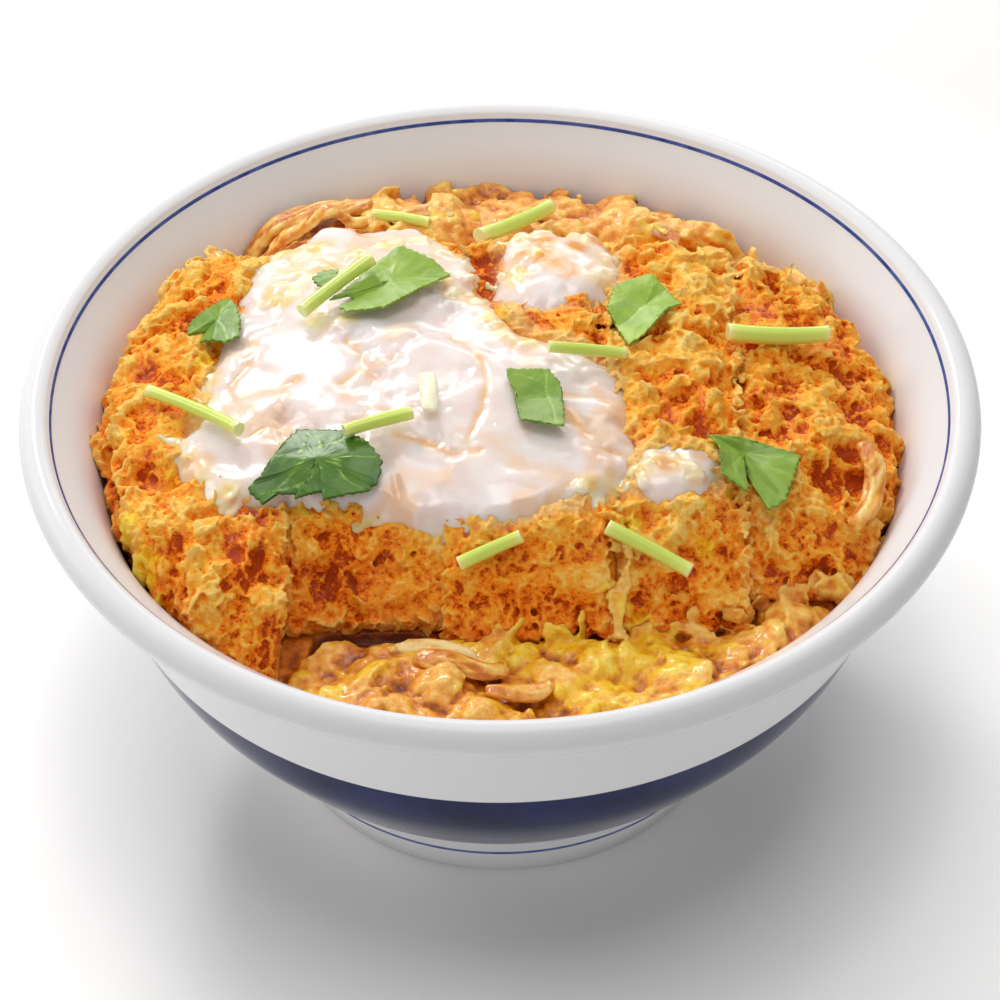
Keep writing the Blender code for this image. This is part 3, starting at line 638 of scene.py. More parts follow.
def flakes(places, normals, sizes, tilts, bend, ragged, sunk, seed):  # bent ragged scales on a surface
    rng = np.random.default_rng(seed)
    count = len(places)
    spin = rng.normal(size=(count, 3))
    side = np.cross(normals, spin)
    side /= np.linalg.norm(side, axis=1)[:, None]
    other = np.cross(normals, side)
    tilt = rng.uniform(*tilts, (count, 1)) * math.pi / 180
    rise = other * np.cos(tilt) + normals * np.sin(tilt)
    face = -other * np.sin(tilt) + normals * np.cos(tilt)
    long, wide, thick = (rng.uniform(*sizes[k], (count, 1)) for k in ("long", "wide", "thick"))
    u = np.broadcast_to(ballPoints, (count, *ballPoints.shape))
    where = (u * 1.4 + rng.uniform(0, 900, (count, 1, 3))).reshape(-1, 3)
    rough = 1 + ragged * fractal(where, 1.0, seed, 2, 0.7).reshape(count, -1)
    a = u[..., 0] * long * rough
    b = u[..., 1] * wide * rough
    c = u[..., 2] * thick + rng.uniform(-bend, bend, (count, 1)) * (a**2 / long + 0.6 * b**2 / wide)
    lift = wide * np.sin(tilt) * rng.uniform(*sunk, (count, 1))
    points = (places + normals * lift)[:, None] + a[..., None] * side[:, None] + b[..., None] * rise[:, None]
    points = points + c[..., None] * face[:, None]
    faces = (ballFaces[None] + np.arange(count)[:, None, None] * len(ballPoints)).reshape(-1, 3)
    return points.reshape(-1, 3), faces


crustPlan = dict(
    voxel=0.34, baseVoxel=0.8, baseSoften=8, shrink=1.0, mostFaces=96000,
    crag=1.9, cragSize=9.0, ridge=0.9, ridgeSize=5.5, clump=0.9, clumpSize=6.0,
    shardCount=200,
    shard=dict(long=(1.4, 3.2), wide=(0.8, 2.0), thick=(0.3, 0.5)),
    flakeCount=1200,
    flake=dict(long=(0.6, 1.7), wide=(0.4, 1.0), thick=(0.22, 0.36)),
    crumbCount=2600,
    crumb=dict(long=(0.3, 0.8), wide=(0.25, 0.55), thick=(0.2, 0.35)),
    tilts=(5, 80),
    bridgeCount=380,
    crevices=[(19.5, -50.0, -36.0, 75.0), (-37.0, -60.0, -40.0, 68.0)],
    poreSize=2.4, poreDepth=0.3, fineSize=1.2, fineDepth=0.14, grainSize=0.8, grainDepth=0.16,
    slices={  # seed of each, and how much paler it is than its relief says
        "cutlet_slice_1": (101, 1.2), "cutlet_slice_2": (202, 0.3), "cutlet_slice_3": (303, -0.4),
        "cutlet_slice_4": (404, 1.3), "cutlet_slice_5": (505, 0.5)},
    growths=[  # kind, how bare a place may be, tilts, bend, raggedness, how deep it sits, seed
        ("flake", 0.05, (5, 80), 0.3, 0.5, (-0.2, 0.6), 2), ("shard", 0.1, (5, 80), 0.7, 0.7, (-0.5, 0.2), 3),
        ("crumb", -0.15, (0, 90), 0.2, 0.4, (0.0, 1.0), 4)],
    yolk=[(-51.0, 2.0, 3.0), (-60.5, -34.5, 4.5), (-63.5, -27.0, 3.0), (-51.5, 9.0, 2.5), (-58.5, -41.0, 3.0),
          (-49.5, 5.5, 3.4), (23.5, -43.0, 3.4), (21.5, -48.0, 4.0), (-57.0, -18.5, 2.6), (34.5, -34.5, 2.2),
          (22.0, -32.0, 2.2), (10.0, -28.0, 2.4), (16.5, -27.0, 3.0), (-34.0, -26.0, 2.6)],
    red=[(0.0, (144, 46, 0)), (0.2, (212, 86, 0)), (0.45, (251, 130, 16)), (0.75, (255, 156, 46)),
         (1.0, (255, 190, 90))],
    gold=[(0.0, (188, 66, 0)), (0.2, (248, 124, 6)), (0.45, (255, 168, 42)), (0.75, (255, 190, 72)),
          (1.0, (255, 212, 116))],
    yellow=[(0.1, (236, 140, 2)), (0.45, (255, 186, 10)), (0.8, (255, 214, 70))],
    milky=(255, 206, 132), pale=(255, 200, 112),
)

garnish = [f"leaf_{k}" for k in range(1, 8)] + [f"stem_{k}" for k in range(1, 10)]
lowest, _ = topMap(*together(*[(points * (1, 1, -1), faces) for points, faces in map(nodeArrays, garnish)]))
garnishLow = -lowest  # the undersides of leaves and stems


def underGarnish(points, air=0.1):
    out = points.copy()
    limit = garnishLow[mapIndex(points)] - air
    near = (points[:, 2] > limit) & (points[:, 2] < limit + 4)
    out[near, 2] = limit[near]
    return out


whiteNodes = ["egg_white_main", "egg_white_back", "egg_white_right"]
_, whiteHeld = topMap(*together(*[nodeArrays(name) for name in whiteNodes]))
whiteShare, whiteNear = (blurred(whiteHeld.astype(float), width) for width in (1.5, 2.6))


def crustLook():
    plan = crustPlan
    look, tree, shader = newLook("soakedCrumb")
    grain = centred(tree, speckle(tree, 0.5, 3.0, roughness=0.7))
    patch = centred(tree, speckle(tree, 5.0))
    # partly painted shade: through rise and edge the crumb turns darker and redder in hollows and paler where
    # it stands out; partly sauce soaked into the pits
    level = summed(tree, 0.18, (valueOf(tree, "rise"), 0.16), (valueOf(tree, "edge"), 1.3),
                   (valueOf(tree, "clump"), 0.22), (grain, 1.2), (patch, 0.8))
    red, gold, yellow = (ramp(tree, level, plan[key]) for key in ("red", "gold", "yellow"))
    # partly painted light: places facing up (top) lean to the paler gold crumb, as lit from above; partly the
    # golden crumb on the tops
    broad = summed(tree, speckle(tree, 11.0), (valueOf(tree, "top"), 0.45))
    colour = blendColours(tree, ramp(tree, broad, [(0.5, 0.0), (0.82, 1.0)]), red, gold)
    colour = blendColours(tree, valueOf(tree, "yolk"), colour, yellow)
    colour = blendColours(tree, valueOf(tree, "milk"), colour, plan["milky"])
    # painted highlight: the thin standing edges of the flakes are blended toward pale cream, as light
    # catching them
    pale = calc(tree, "MULTIPLY", valueOf(tree, "brinkHighlight"), 0.3)
    colour = blendColours(tree, pale, colour, plan["pale"])
    shine = calc(tree, "MULTIPLY", ramp(tree, level, [(0.15, 0.4), (0.55, 0.16)]),
                 ramp(tree, speckle(tree, 9.0), [(0.46, 0.2), (0.6, 1.0)]))
    roughness = ramp(tree, level, [(0.1, 0.2), (0.7, 0.48)])
    fine = bumped(tree, speckle(tree, 0.5, 2.0, roughness=0.7), 0.4)
    wet = bumped(tree, speckle(tree, 0.9), 0.55)
    setShader(shader, base=colour, rough=roughness, soft=0.3, softReach=(1.0, 0.42, 0.1), softScale=1.0 * mm,
              specular=0.1, coat=shine, coatRough=0.04, normal=fine, coatNormal=wet)
    return look


def clumps(places, seed):  # 1 where crumb clings in clumps, 0 on the bare glossy crust between
    return ramped(-0.36, 0.16, fractal(places, crustPlan["clumpSize"], seed + 30, 3, 0.7))


def spots(places, marks, seed):
    total = np.zeros(len(places))
    for x, y, reach in marks:
        distance = np.hypot(places[:, 0] - x, places[:, 1] - y)
        total = np.maximum(total, 1 - distance / reach)
    total = total + 0.5 * fractal(places, 2.2, seed)
    return ramped(0.15, 0.5, total)


def addSlice(name, look):
    plan = crustPlan
    seed, lift = plan["slices"][name]
    rng = np.random.default_rng(seed)
    low, high = (np.array(corner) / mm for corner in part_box(name))
    seams = []  # side, place, and how far the next slice reaches
    for side, at in ((-1, low[0]), (1, high[0])):
        other = f"cutlet_slice_{int(name[-1]) + side}"
        if other in plan["slices"]:
            near, far = (np.array(corner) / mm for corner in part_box(other))
            seams.append((side, at, near[1] + 0.8, far[1] - 0.8))
    own = nodeArrays(name)

    def bareness(points, normals):  # 1 where crumb shows, 0 at the next slice, on the bottom, under egg
        bare = 1 - 0.85 * ramped(0.6, 0.9, readMap(whiteShare, points)) * (normals[:, 2] > 0.1)
        for side, at, near, far in seams:
            beside = (np.abs(points[:, 0] - at) < 2.4) & (points[:, 1] > near) & (points[:, 1] < far)
            bare = bare * (1 - ramped(0.5, 0.8, side * normals[:, 0]) * beside)
        return bare * ramped(low[2] + 0.3, low[2] + 1.2, points[:, 2])

    points, faces = through(*own, skin(plan["baseVoxel"]), soften(plan["baseSoften"]))
    normals = normalsOf(points, faces)
    bare = bareness(points, normals)
    warped = points + 1.2 * np.stack([softNoise(points, 3.0, seed + k) for k in (20, 21, 22)], axis=1)
    crag = plan["crag"] * fractal(warped, plan["cragSize"], seed + 23, 2)
    crag += plan["ridge"] * (1 - 2.6 * np.abs(softNoise(warped, plan["ridgeSize"], seed + 24)))
    crag += plan["clump"] * clumps(points, seed)
    swell = (crag - plan["shrink"]) * bare + 0.3 * (1 - bare) * (normals[:, 2] < 0.5)
    points = points + normals * swell[:, None]
    normals = normalsOf(points, faces)
    triangles = inTriangles(faces)
    bareFaces = bareness(points[triangles].mean(axis=1), normals[triangles].mean(axis=1)) > 0.5
    grown = []
    for kind, least, tilts, bend, ragged, sunk, extra in plan["growths"]:
        places, ways = scattered(points, faces, bareFaces, plan[kind + "Count"], rng)
        keep = clumps(places, seed) > rng.uniform(least, 0.9, len(places))
        grown.append(flakes(places[keep], ways[keep], plan[kind], tilts, bend, ragged, sunk, seed + extra))
    middle = points[triangles].mean(axis=1)
    for side, at, _, _ in seams:  # crumb over the cuts
        beside = bareFaces & (np.abs(middle[:, 0] - at) < 3.2)
        places, ways = scattered(points, faces, beside, plan["bridgeCount"], rng)
        keep = np.ones(len(places), bool)
        for cutAt, y0, y1, z1 in plan["crevices"]:
            keep &= ~((abs(cutAt - at) < 1) & (places[:, 1] > y0) & (places[:, 1] < y1) & (places[:, 2] < z1))
        places[:, 0] = at + rng.uniform(-0.9, 0.9, len(places))
        places -= ways * rng.uniform(0.0, 1.6, (len(places), 1))
        grown.append(flakes(places[keep], ways[keep], plan["flake"], plan["tilts"], 0.3, 0.5, (-0.4, 0.3),
                            seed + 40))
    points, faces = through(*together((points, faces), *grown), skin(plan["voxel"]), soften(1, 0.4))
    normals = normalsOf(points, faces)
    bare = bareness(points, normals)
    wobble = points + 0.6 * softNoise(points, 1.3, seed + 7)[:, None]
    near = nearestCentre(wobble, plan["poreSize"], seed + 5)
    deep = -plan["poreDepth"] * ramped(0.6, 0.15, near) * ramped(-0.15, 0.25, fractal(points, 4.0, seed + 6))
    near = nearestCentre(wobble, plan["fineSize"], seed + 9)
    deep -= plan["fineDepth"] * ramped(0.6, 0.15, near)
    deep += plan["grainDepth"] * fractal(points, plan["grainSize"], seed + 8, 2, 0.6)
    points = points + normals * (deep * bare)[:, None]
    raw = 2 * len(faces)
    points, faces = through(points, faces, thin(plan["mostFaces"] / raw))
    points[:, 2] = np.maximum(points[:, 2], low[2])
    points = underGarnish(withinWall(points))
    smooth, smoothFaces = through(*own, skin(1.4), soften(30))
    tree = BVHTree.FromPolygons([Vector(p) for p in smooth], [tuple(f) for f in smoothFaces])
    # rise: height over the smoothed slice; top: how much a place faces up, used in the look to paint the tops
    # paler as light
    rise, top = np.empty((2, len(points)))
    for k, point in enumerate(points):
        spot, way, _, _ = tree.find_nearest(point)
        rise[k], top[k] = (Vector(point) - spot).dot(way), way.z
    rise += lift
    # edge: how far each place stands out; in the look it paints the hollows darker as shade
    edge = standing(points, faces, 18)
    # the thin standing edges of the flakes, painted pale as highlight in the look
    brinkHighlight = ramped(0.02, 0.1, standing(points, faces, 3))
    yolk = spots(points, plan["yolk"], seed + 9)
    near = readMap(whiteNear, points) + 0.16 * fractal(points, 2.6, 31)
    milk = 0.85 * ramped(0.16, 0.42, near) * ramped(-0.25, 0.25, softNoise(points, 9.0, 32))
    addPiece(name + "_crumb", points, faces, look, [name],
             {"rise": rise, "edge": edge, "brinkHighlight": brinkHighlight, "top": top, "yolk": yolk, "milk": milk,
              "clump": clumps(points, seed)})
    report(f"{name}, {raw} to {len(faces)} triangles")
    return points, faces


crumbLook = crustLook()
slices = [addSlice(name, crumbLook) for name in crustPlan["slices"]]


# Egg and onion round the cutlet

onionPlan = dict(voxel=0.35,
                 pieces=["onion_back_outer", "onion_back_inner", "onion_front_large", "onion_front_small",
                         "onion_right", "onion_chip"],
                 strips=[  # x, y, turn, bend, half length, half width, half thickness, lean
                     (-11.5, -50.0, -6, 30, 9.0, 3.0, 0.6, 30), (-28.0, 53.0, 60, 50, 5.0, 1.6, 0.6, -20),
                     (-14.0, 57.5, 10, 45, 6.5, 1.8, 0.6, 15), (30.0, 51.0, -30, 50, 4.5, 1.5, 0.55, 20),
                     (8.0, 57.5, -10, 40, 4.5, 1.5, 0.55, 15)],
                 tones=[(0.25, (208, 118, 20)), (0.55, (238, 168, 58)), (0.9, (253, 212, 124))],
                 pale=(253, 246, 214))
eggPlan = dict(
    voxel=0.5, mostFaces=120000, cutAt=55.0, curdCount=300, lump=1.5, lumpSize=8.5,
    curd=dict(long=(2.2, 5.6), wide=(1.8, 3.8), thick=(0.9, 2.1)),
    bitCount=420,
    bit=dict(long=(0.4, 1.3), wide=(0.4, 1.0), thick=(0.3, 0.6)),
    lapCount=260,
    lap=dict(long=(1.4, 3.6), wide=(1.0, 2.4), thick=(0.3, 0.55)),
    flow=[(21.5, -35.0, 77.0), (21.5, -38.0, 74.0), (20.5, -42.0, 71.0), (20.0, -46.0, 68.0),
          (19.0, -50.0, 65.5)],
    flowWide=(0.9, 2.2), flowThick=0.28, grainSize=1.3, grainDepth=0.35, dip=3.6,
    yolk=[(-22.0, -55.5, 4.0), (-26.0, -54.0, 3.5), (-28.5, -59.0, 3.5), (-8.5, -51.0, 4.0),
          (-5.0, -48.5, 3.0), (7.0, -60.5, 4.0), (14.5, -60.5, 5.0), (23.5, -52.5, 6.0),
          (31.5, -51.0, 6.0), (18.0, -56.0, 5.0), (26.5, -48.5, 4.0), (37.0, -49.0, 5.0),
          (-12.0, 55.0, 4.0), (-2.0, 58.0, 3.5), (28.0, 52.0, 4.0), (34.0, 48.0, 3.0), (-24.0, 50.0, 3.0)],
    tan=[(0.0, (132, 54, 1)), (0.3, (206, 112, 14)), (0.6, (242, 158, 40)), (1.0, (255, 204, 96))],
    yellow=[(0.0, (168, 78, 0)), (0.28, (222, 138, 4)), (0.55, (250, 188, 14)), (0.8, (255, 206, 34)),
            (1.0, (255, 218, 84))],
)


def eggLook():
    look, tree, shader = newLook("setEgg")
    # partly painted shade: through rise and edge the egg is browner in hollows and paler on lumps that stand
    # out; partly the egg's own browned curds
    level = summed(tree, 0.38, (valueOf(tree, "rise"), 0.2), (valueOf(tree, "edge"), 1.1),
                   (centred(tree, speckle(tree, 1.7, 4.0)), 1.1))
    tan, yellow = (ramp(tree, level, eggPlan[key]) for key in ("tan", "yellow"))
    broad = calc(tree, "ADD", speckle(tree, 6.0, 3.0), valueOf(tree, "yolk"))
    broad = ramp(tree, broad, [(0.46, 0.0), (0.6, 1.0)])
    colour = blendColours(tree, broad, tan, yellow)
    setShader(shader, base=colour, rough=0.34, soft=0.35, softReach=(1.0, 0.6, 0.25), softScale=1.4 * mm,
              coat=0.35, coatRough=0.12, normal=bumped(tree, speckle(tree, 1.0, 4.0, roughness=0.65), 0.4))
    return look


def parted(points, faces, height, above):  # the closed part of a shape above or below a level
    mesh = bmesh.new()
    data = meshFrom("parting", points, faces)
    mesh.from_mesh(data)
    bpy.data.meshes.remove(data)
    bmesh.ops.remove_doubles(mesh, verts=mesh.verts, dist=0.002)
    everything = mesh.verts[:] + mesh.edges[:] + mesh.faces[:]
    made = bmesh.ops.bisect_plane(mesh, geom=everything, plane_co=(0, 0, height), plane_no=(0, 0, 1),
                                  clear_inner=above, clear_outer=not above)
    rim = [e for e in made["geom_cut"] if isinstance(e, bmesh.types.BMEdge)]
    bmesh.ops.triangle_fill(mesh, edges=rim, use_beauty=True)
    bmesh.ops.recalc_face_normals(mesh, faces=mesh.faces)
    bmesh.ops.triangulate(mesh, faces=mesh.faces)
    out = bpy.data.meshes.new("parted")
    mesh.to_mesh(out)
    mesh.free()
    result = arraysOf(out)
    bpy.data.meshes.remove(out)
    return result


def dipOf(points):  # the dark hollow under the second slice's front, whose egg is also painted browner as shade
    x, y = points[:, 0], points[:, 1]
    return ramped(-38, -34, x) * ramped(-9, -15, x) * ramped(-48.5, -44.5, y) * (y < -30)


def flowing(cutlet):  # the stream of yolk that runs down beside a cut
    plan = eggPlan
    tree = BVHTree.FromPolygons([Vector(p) for p in cutlet[0]], [tuple(f) for f in cutlet[1]])
    rows = []
    line = curveThrough(plan["flow"], 8)
    for n, place in enumerate(line):
        t = n / (len(line) - 1)
        spot = (Vector(place) + tree.find_nearest(Vector(place))[0]) / 2
        wide = plan["flowWide"][0] + (plan["flowWide"][1] - plan["flowWide"][0]) * t
        wide *= 1 + 0.4 * math.sin(13 * t + 1)
        for a in np.linspace(0, 2 * math.pi, 12, endpoint=False):
            rows.append(spot + Vector((wide * math.cos(a), -0.6 * plan["flowThick"] * math.sin(a),
                                       0.8 * plan["flowThick"] * math.sin(a))))
    return np.array(rows), tubeFaces(len(line), 12)


def addEgg():
    plan = eggPlan
    rng = np.random.default_rng(61)
    own = nodeArrays("egg_onion_bed")
    core = parted(*own, plan["cutAt"] + 2, False)
    top = through(*parted(*own, plan["cutAt"], True), skin(0.9), soften(2))
    points, faces = top
    normals = normalsOf(points, faces)
    openShare = ramped(60.3, 61.5, points[:, 2]) * (normals[:, 2] > 0)
    lumps = plan["lump"] * (fractal(points, plan["lumpSize"], 64, 2) - 0.2)
    points = points + normals * (lumps * openShare)[:, None]
    points[:, 2] -= plan["dip"] * dipOf(points) * openShare
    triangles = inTriangles(faces)
    middle = points[triangles].mean(axis=1)
    onions = [nodeArrays(name) for name in onionPlan["pieces"]]
    _, beside = topMap(*together(*onions))
    clear = readMap(blurred(beside.astype(float), 1.2), middle) < 0.4
    openFaces = (middle[:, 2] > 60.5) & (normals[triangles].mean(axis=1)[:, 2] > 0)
    openFaces &= clear & (dipOf(middle) < 0.3)
    places, ways = scattered(points, faces, openFaces, plan["curdCount"], rng)
    curds = flakes(places, ways, plan["curd"], (0, 25), 0.08, 0.5, (-0.4, 0.4), 62)
    places, ways = scattered(points, faces, openFaces, plan["bitCount"], rng)
    bits = flakes(places + ways * 0.7, ways, plan["bit"], (0, 90), 0.1, 0.5, (0.0, 1.0), 65)
    cutlet = together(*slices)
    middle = cutlet[0][cutlet[1]].mean(axis=1)
    facing = normalsOf(*cutlet)[cutlet[1]].mean(axis=1)
    front = (middle[:, 1] < -30) & (middle[:, 0] > -6) & (facing[:, 1] < -0.2) & (middle[:, 2] < 65)
    behind = (middle[:, 1] > 35) & (facing[:, 1] > 0.2) & (middle[:, 2] < 76)
    outward = (facing[:, :2] * middle[:, :2]).sum(axis=1) / np.hypot(middle[:, 0], middle[:, 1])
    edge = (np.hypot(middle[:, 0], middle[:, 1]) > 61) & (outward > 0.3)
    edge &= (middle[:, 2] < 65) & (middle[:, 0] > 20)
    places, ways = scattered(*cutlet, front | behind | edge, plan["lapCount"], rng)
    laps = flakes(places, ways, plan["lap"], (0, 25), 0.1, 0.5, (-0.3, 0.2), 66)
    whole = together((points, faces), curds, bits, laps, flowing(cutlet))
    points, faces = through(*whole, skin(plan["voxel"]), soften(2))
    normals = normalsOf(points, faces)
    shown = ramped(60.4, 61.5, points[:, 2])
    grain = plan["grainDepth"] * shown * fractal(points, plan["grainSize"], 63, 2)
    points = points + normals * grain[:, None]
    points, faces = through(points, faces, thin(plan["mostFaces"] / (2 * len(faces))))
    points = withinWall(points, 0.05)
    heights, held = topMap(*top)
    broad = blurredInside(heights, held, 2.5)
    rise = (points[:, 2] - readMap(broad, points)).clip(-2, 2)
    # edge: how far each place stands out; in the look it paints the hollows browner as shade
    edge = standing(points, faces, 14)
    count = len(points)
    points, faces = together((points, faces), core)
    rise, edge = (np.concatenate([value, np.zeros(len(points) - count)]) for value in (rise, edge))
    x, y = points[:, 0], points[:, 1]
    yolk = (0.05 * ramped(2.0, 16.0, x) - 0.2 * ramped(30.0, 38.0, x)) * (y < -20)
    yolk -= 0.14 * (y > 20) + 0.1 * (y < -30) * ramped(0.0, -14.0, x)
    yolk -= 0.1 * ramped(66.5, 69.5, points[:, 2]) * (y < 0)
    yolk -= 0.04 * (lineDistance(x, y, [p[:2] for p in plan["flow"]]) < 3.5) * (points[:, 2] > 65)
    # painted shade: in the hollow under the second slice's front the egg is made less yellow and browner
    yolk += 0.16 * spots(points, plan["yolk"], 67) - 0.3 * dipOf(points)
    addPiece("egg_onion_bed_curds", points, faces, eggLook(), ["egg_onion_bed"],
             {"rise": rise, "edge": edge, "yolk": yolk})
    report(f"egg, {len(faces)} triangles")
    return points, faces


eggShape = addEgg()


# Soft egg white, poured over the slices

whitePlan = dict(
    voxel=0.45, fold=0.8, crease=0.45, underChip=1.2,
    pieces={"egg_white_main": 71, "egg_white_back": 72, "egg_white_right": 73},
    creases=[  # wide, then the line, in millimetres
        (1.1, [(-8.5, 9.0), (-4.5, 4.5), (-2.5, -1.0), (-2.5, -6.5), (-4.0, -13.0), (-6.0, -18.0)]),
        (1.2, [(-17.5, -16.5), (-12.5, -17.5), (-8.5, -19.5), (-3.5, -19.5)]),
        (0.7, [(-47.0, 1.0), (-43.5, 6.5), (-41.5, 8.0)]),
        (0.7, [(-43.5, -13.0), (-40.5, -11.0), (-36.0, -11.0)]),
        (1.0, [(-37.5, -1.0), (-35.0, 0.5)]),
        (2.0, [(11.5, -9.5), (13.5, -12.0), (15.5, -15.5)]),
        (0.6, [(14.5, -17.5), (19.0, -18.0), (24.0, -19.5)]),
        (0.9, [(10.5, -5.5), (17.5, -6.5), (20.5, -6.0)]),
        (1.6, [(-27.5, -2.0), (-25.5, -0.5), (-23.5, 2.0), (-22.0, -0.5)]),
        (1.0, [(-22.0, -9.0), (-19.0, -10.0)]),
        (1.2, [(0.0, 19.5), (3.5, 11.5), (2.0, 5.5)]),
        (1.0, [(-26.5, 9.0), (-24.0, 5.0), (-23.0, 0.5)]),
        (0.8, [(-18.0, -24.5), (-16.0, -32.0), (-12.5, -35.0)]),
        (0.8, [(6.5, -32.0), (9.5, -28.5), (13.5, -25.0)]),
    ],
    lumps=[  # curds along the edge, cream and yellow: x, y, reach
        (-53.5, 2.5, 2.6), (-51.0, 5.0, 2.2), (-55.0, -3.0, 2.0), (-52.0, -1.5, 2.4), (-56.5, -10.5, 2.2),
        (-54.5, -14.5, 2.0), (-57.0, -18.0, 2.4), (-51.0, -19.5, 2.2), (-46.5, -24.5, 2.2),
        (-43.0, -29.5, 2.0), (-45.5, -27.0, 2.0), (15.0, -27.0, 2.0),
        (17.0, -29.0, 2.0), (20.5, -25.0, 2.4), (24.0, -23.0, 2.4), (26.5, -20.5, 2.0), (29.0, -21.0, 2.4),
        (32.5, -23.0, 2.0), (-41.0, 34.5, 2.8), (-37.5, 38.5, 3.2), (-32.0, 40.0, 3.0), (-26.5, 35.5, 2.8),
        (-39.0, 26.0, 3.0), (-35.5, 31.5, 3.2), (-30.0, 33.5, 3.0), (-24.5, 32.0, 2.6), (-19.5, 39.5, 2.8),
        (-14.0, 39.5, 2.6), (-9.5, 35.5, 2.6), (-6.0, 33.5, 2.4), (-3.5, 28.5, 2.2), (-10.5, 26.0, 2.4),
        (-8.0, 23.0, 2.2), (-4.0, 20.5, 2.2), (-1.5, 15.0, 2.0), (0.0, 11.0, 1.8), (2.5, 9.0, 1.8),
        (5.5, 7.5, 1.6), (-31.5, 15.0, 2.0), (-27.0, 14.0, 1.8), (2.5, 41.0, 3.0), (8.0, 44.0, 3.0),
        (15.0, 41.0, 3.0), (19.5, 34.0, 2.8), (6.0, 34.0, 2.6), (18.0, 28.0, 2.6), (3.0, 27.0, 2.2),
    ],
    stains=[(10.0, 31.0, 4.0), (8.0, 38.0, 3.2), (14.0, 36.0, 2.6), (4.0, 33.0, 2.4), (18.0, 42.0, 2.2),
            (12.0, 28.0, 2.6), (-12.0, 29.0, 2.6), (-6.0, 27.0, 2.6), (-3.0, 21.0, 2.4), (1.0, 13.0, 2.2),
            (-8.0, 36.0, 2.4), (-16.0, 37.0, 2.0), (4.0, 5.0, 1.8), (28.0, -22.0, 2.0), (34.0, -18.0, 2.0),
            (16.0, -20.0, 2.2), (-18.0, -27.0, 2.4), (-26.0, -6.0, 2.2), (20.0, -10.0, 2.2)],
    lumpThick=(0.35, 0.6),
    stainShare=dict(egg_white_main=0.35, egg_white_back=1.3, egg_white_right=0.6),
    milk=[(0.35, (240, 222, 216)), (0.7, (247, 238, 235))],
    yellow=[(0.35, (254, 200, 44)), (0.62, (252, 234, 176))],
    warm=(246, 196, 138), broth=(236, 160, 72),
)


def whiteLook():
    plan = whitePlan
    look, tree, shader = newLook("softEggWhite")
    milk = ramp(tree, speckle(tree, 7.0), plan["milk"])
    colour = blendColours(tree, valueOf(tree, "warm"), milk, plan["warm"])
    yellow = ramp(tree, speckle(tree, 3.0), plan["yellow"])
    colour = blendColours(tree, valueOf(tree, "cream"), colour, yellow)
    colour = blendColours(tree, valueOf(tree, "stain"), colour, plan["broth"])
    setShader(shader, base=colour, rough=0.2, soft=0.7, softReach=(1.0, 0.75, 0.6), softScale=2.6 * mm,
              coat=0.3, coatRough=0.08, ior=1.38, normal=bumped(tree, speckle(tree, 2.2), 0.1))
    return look


def smoothLine(line):
    return [tuple(p) for p in curveThrough(line, 5)] if len(line) > 2 else line


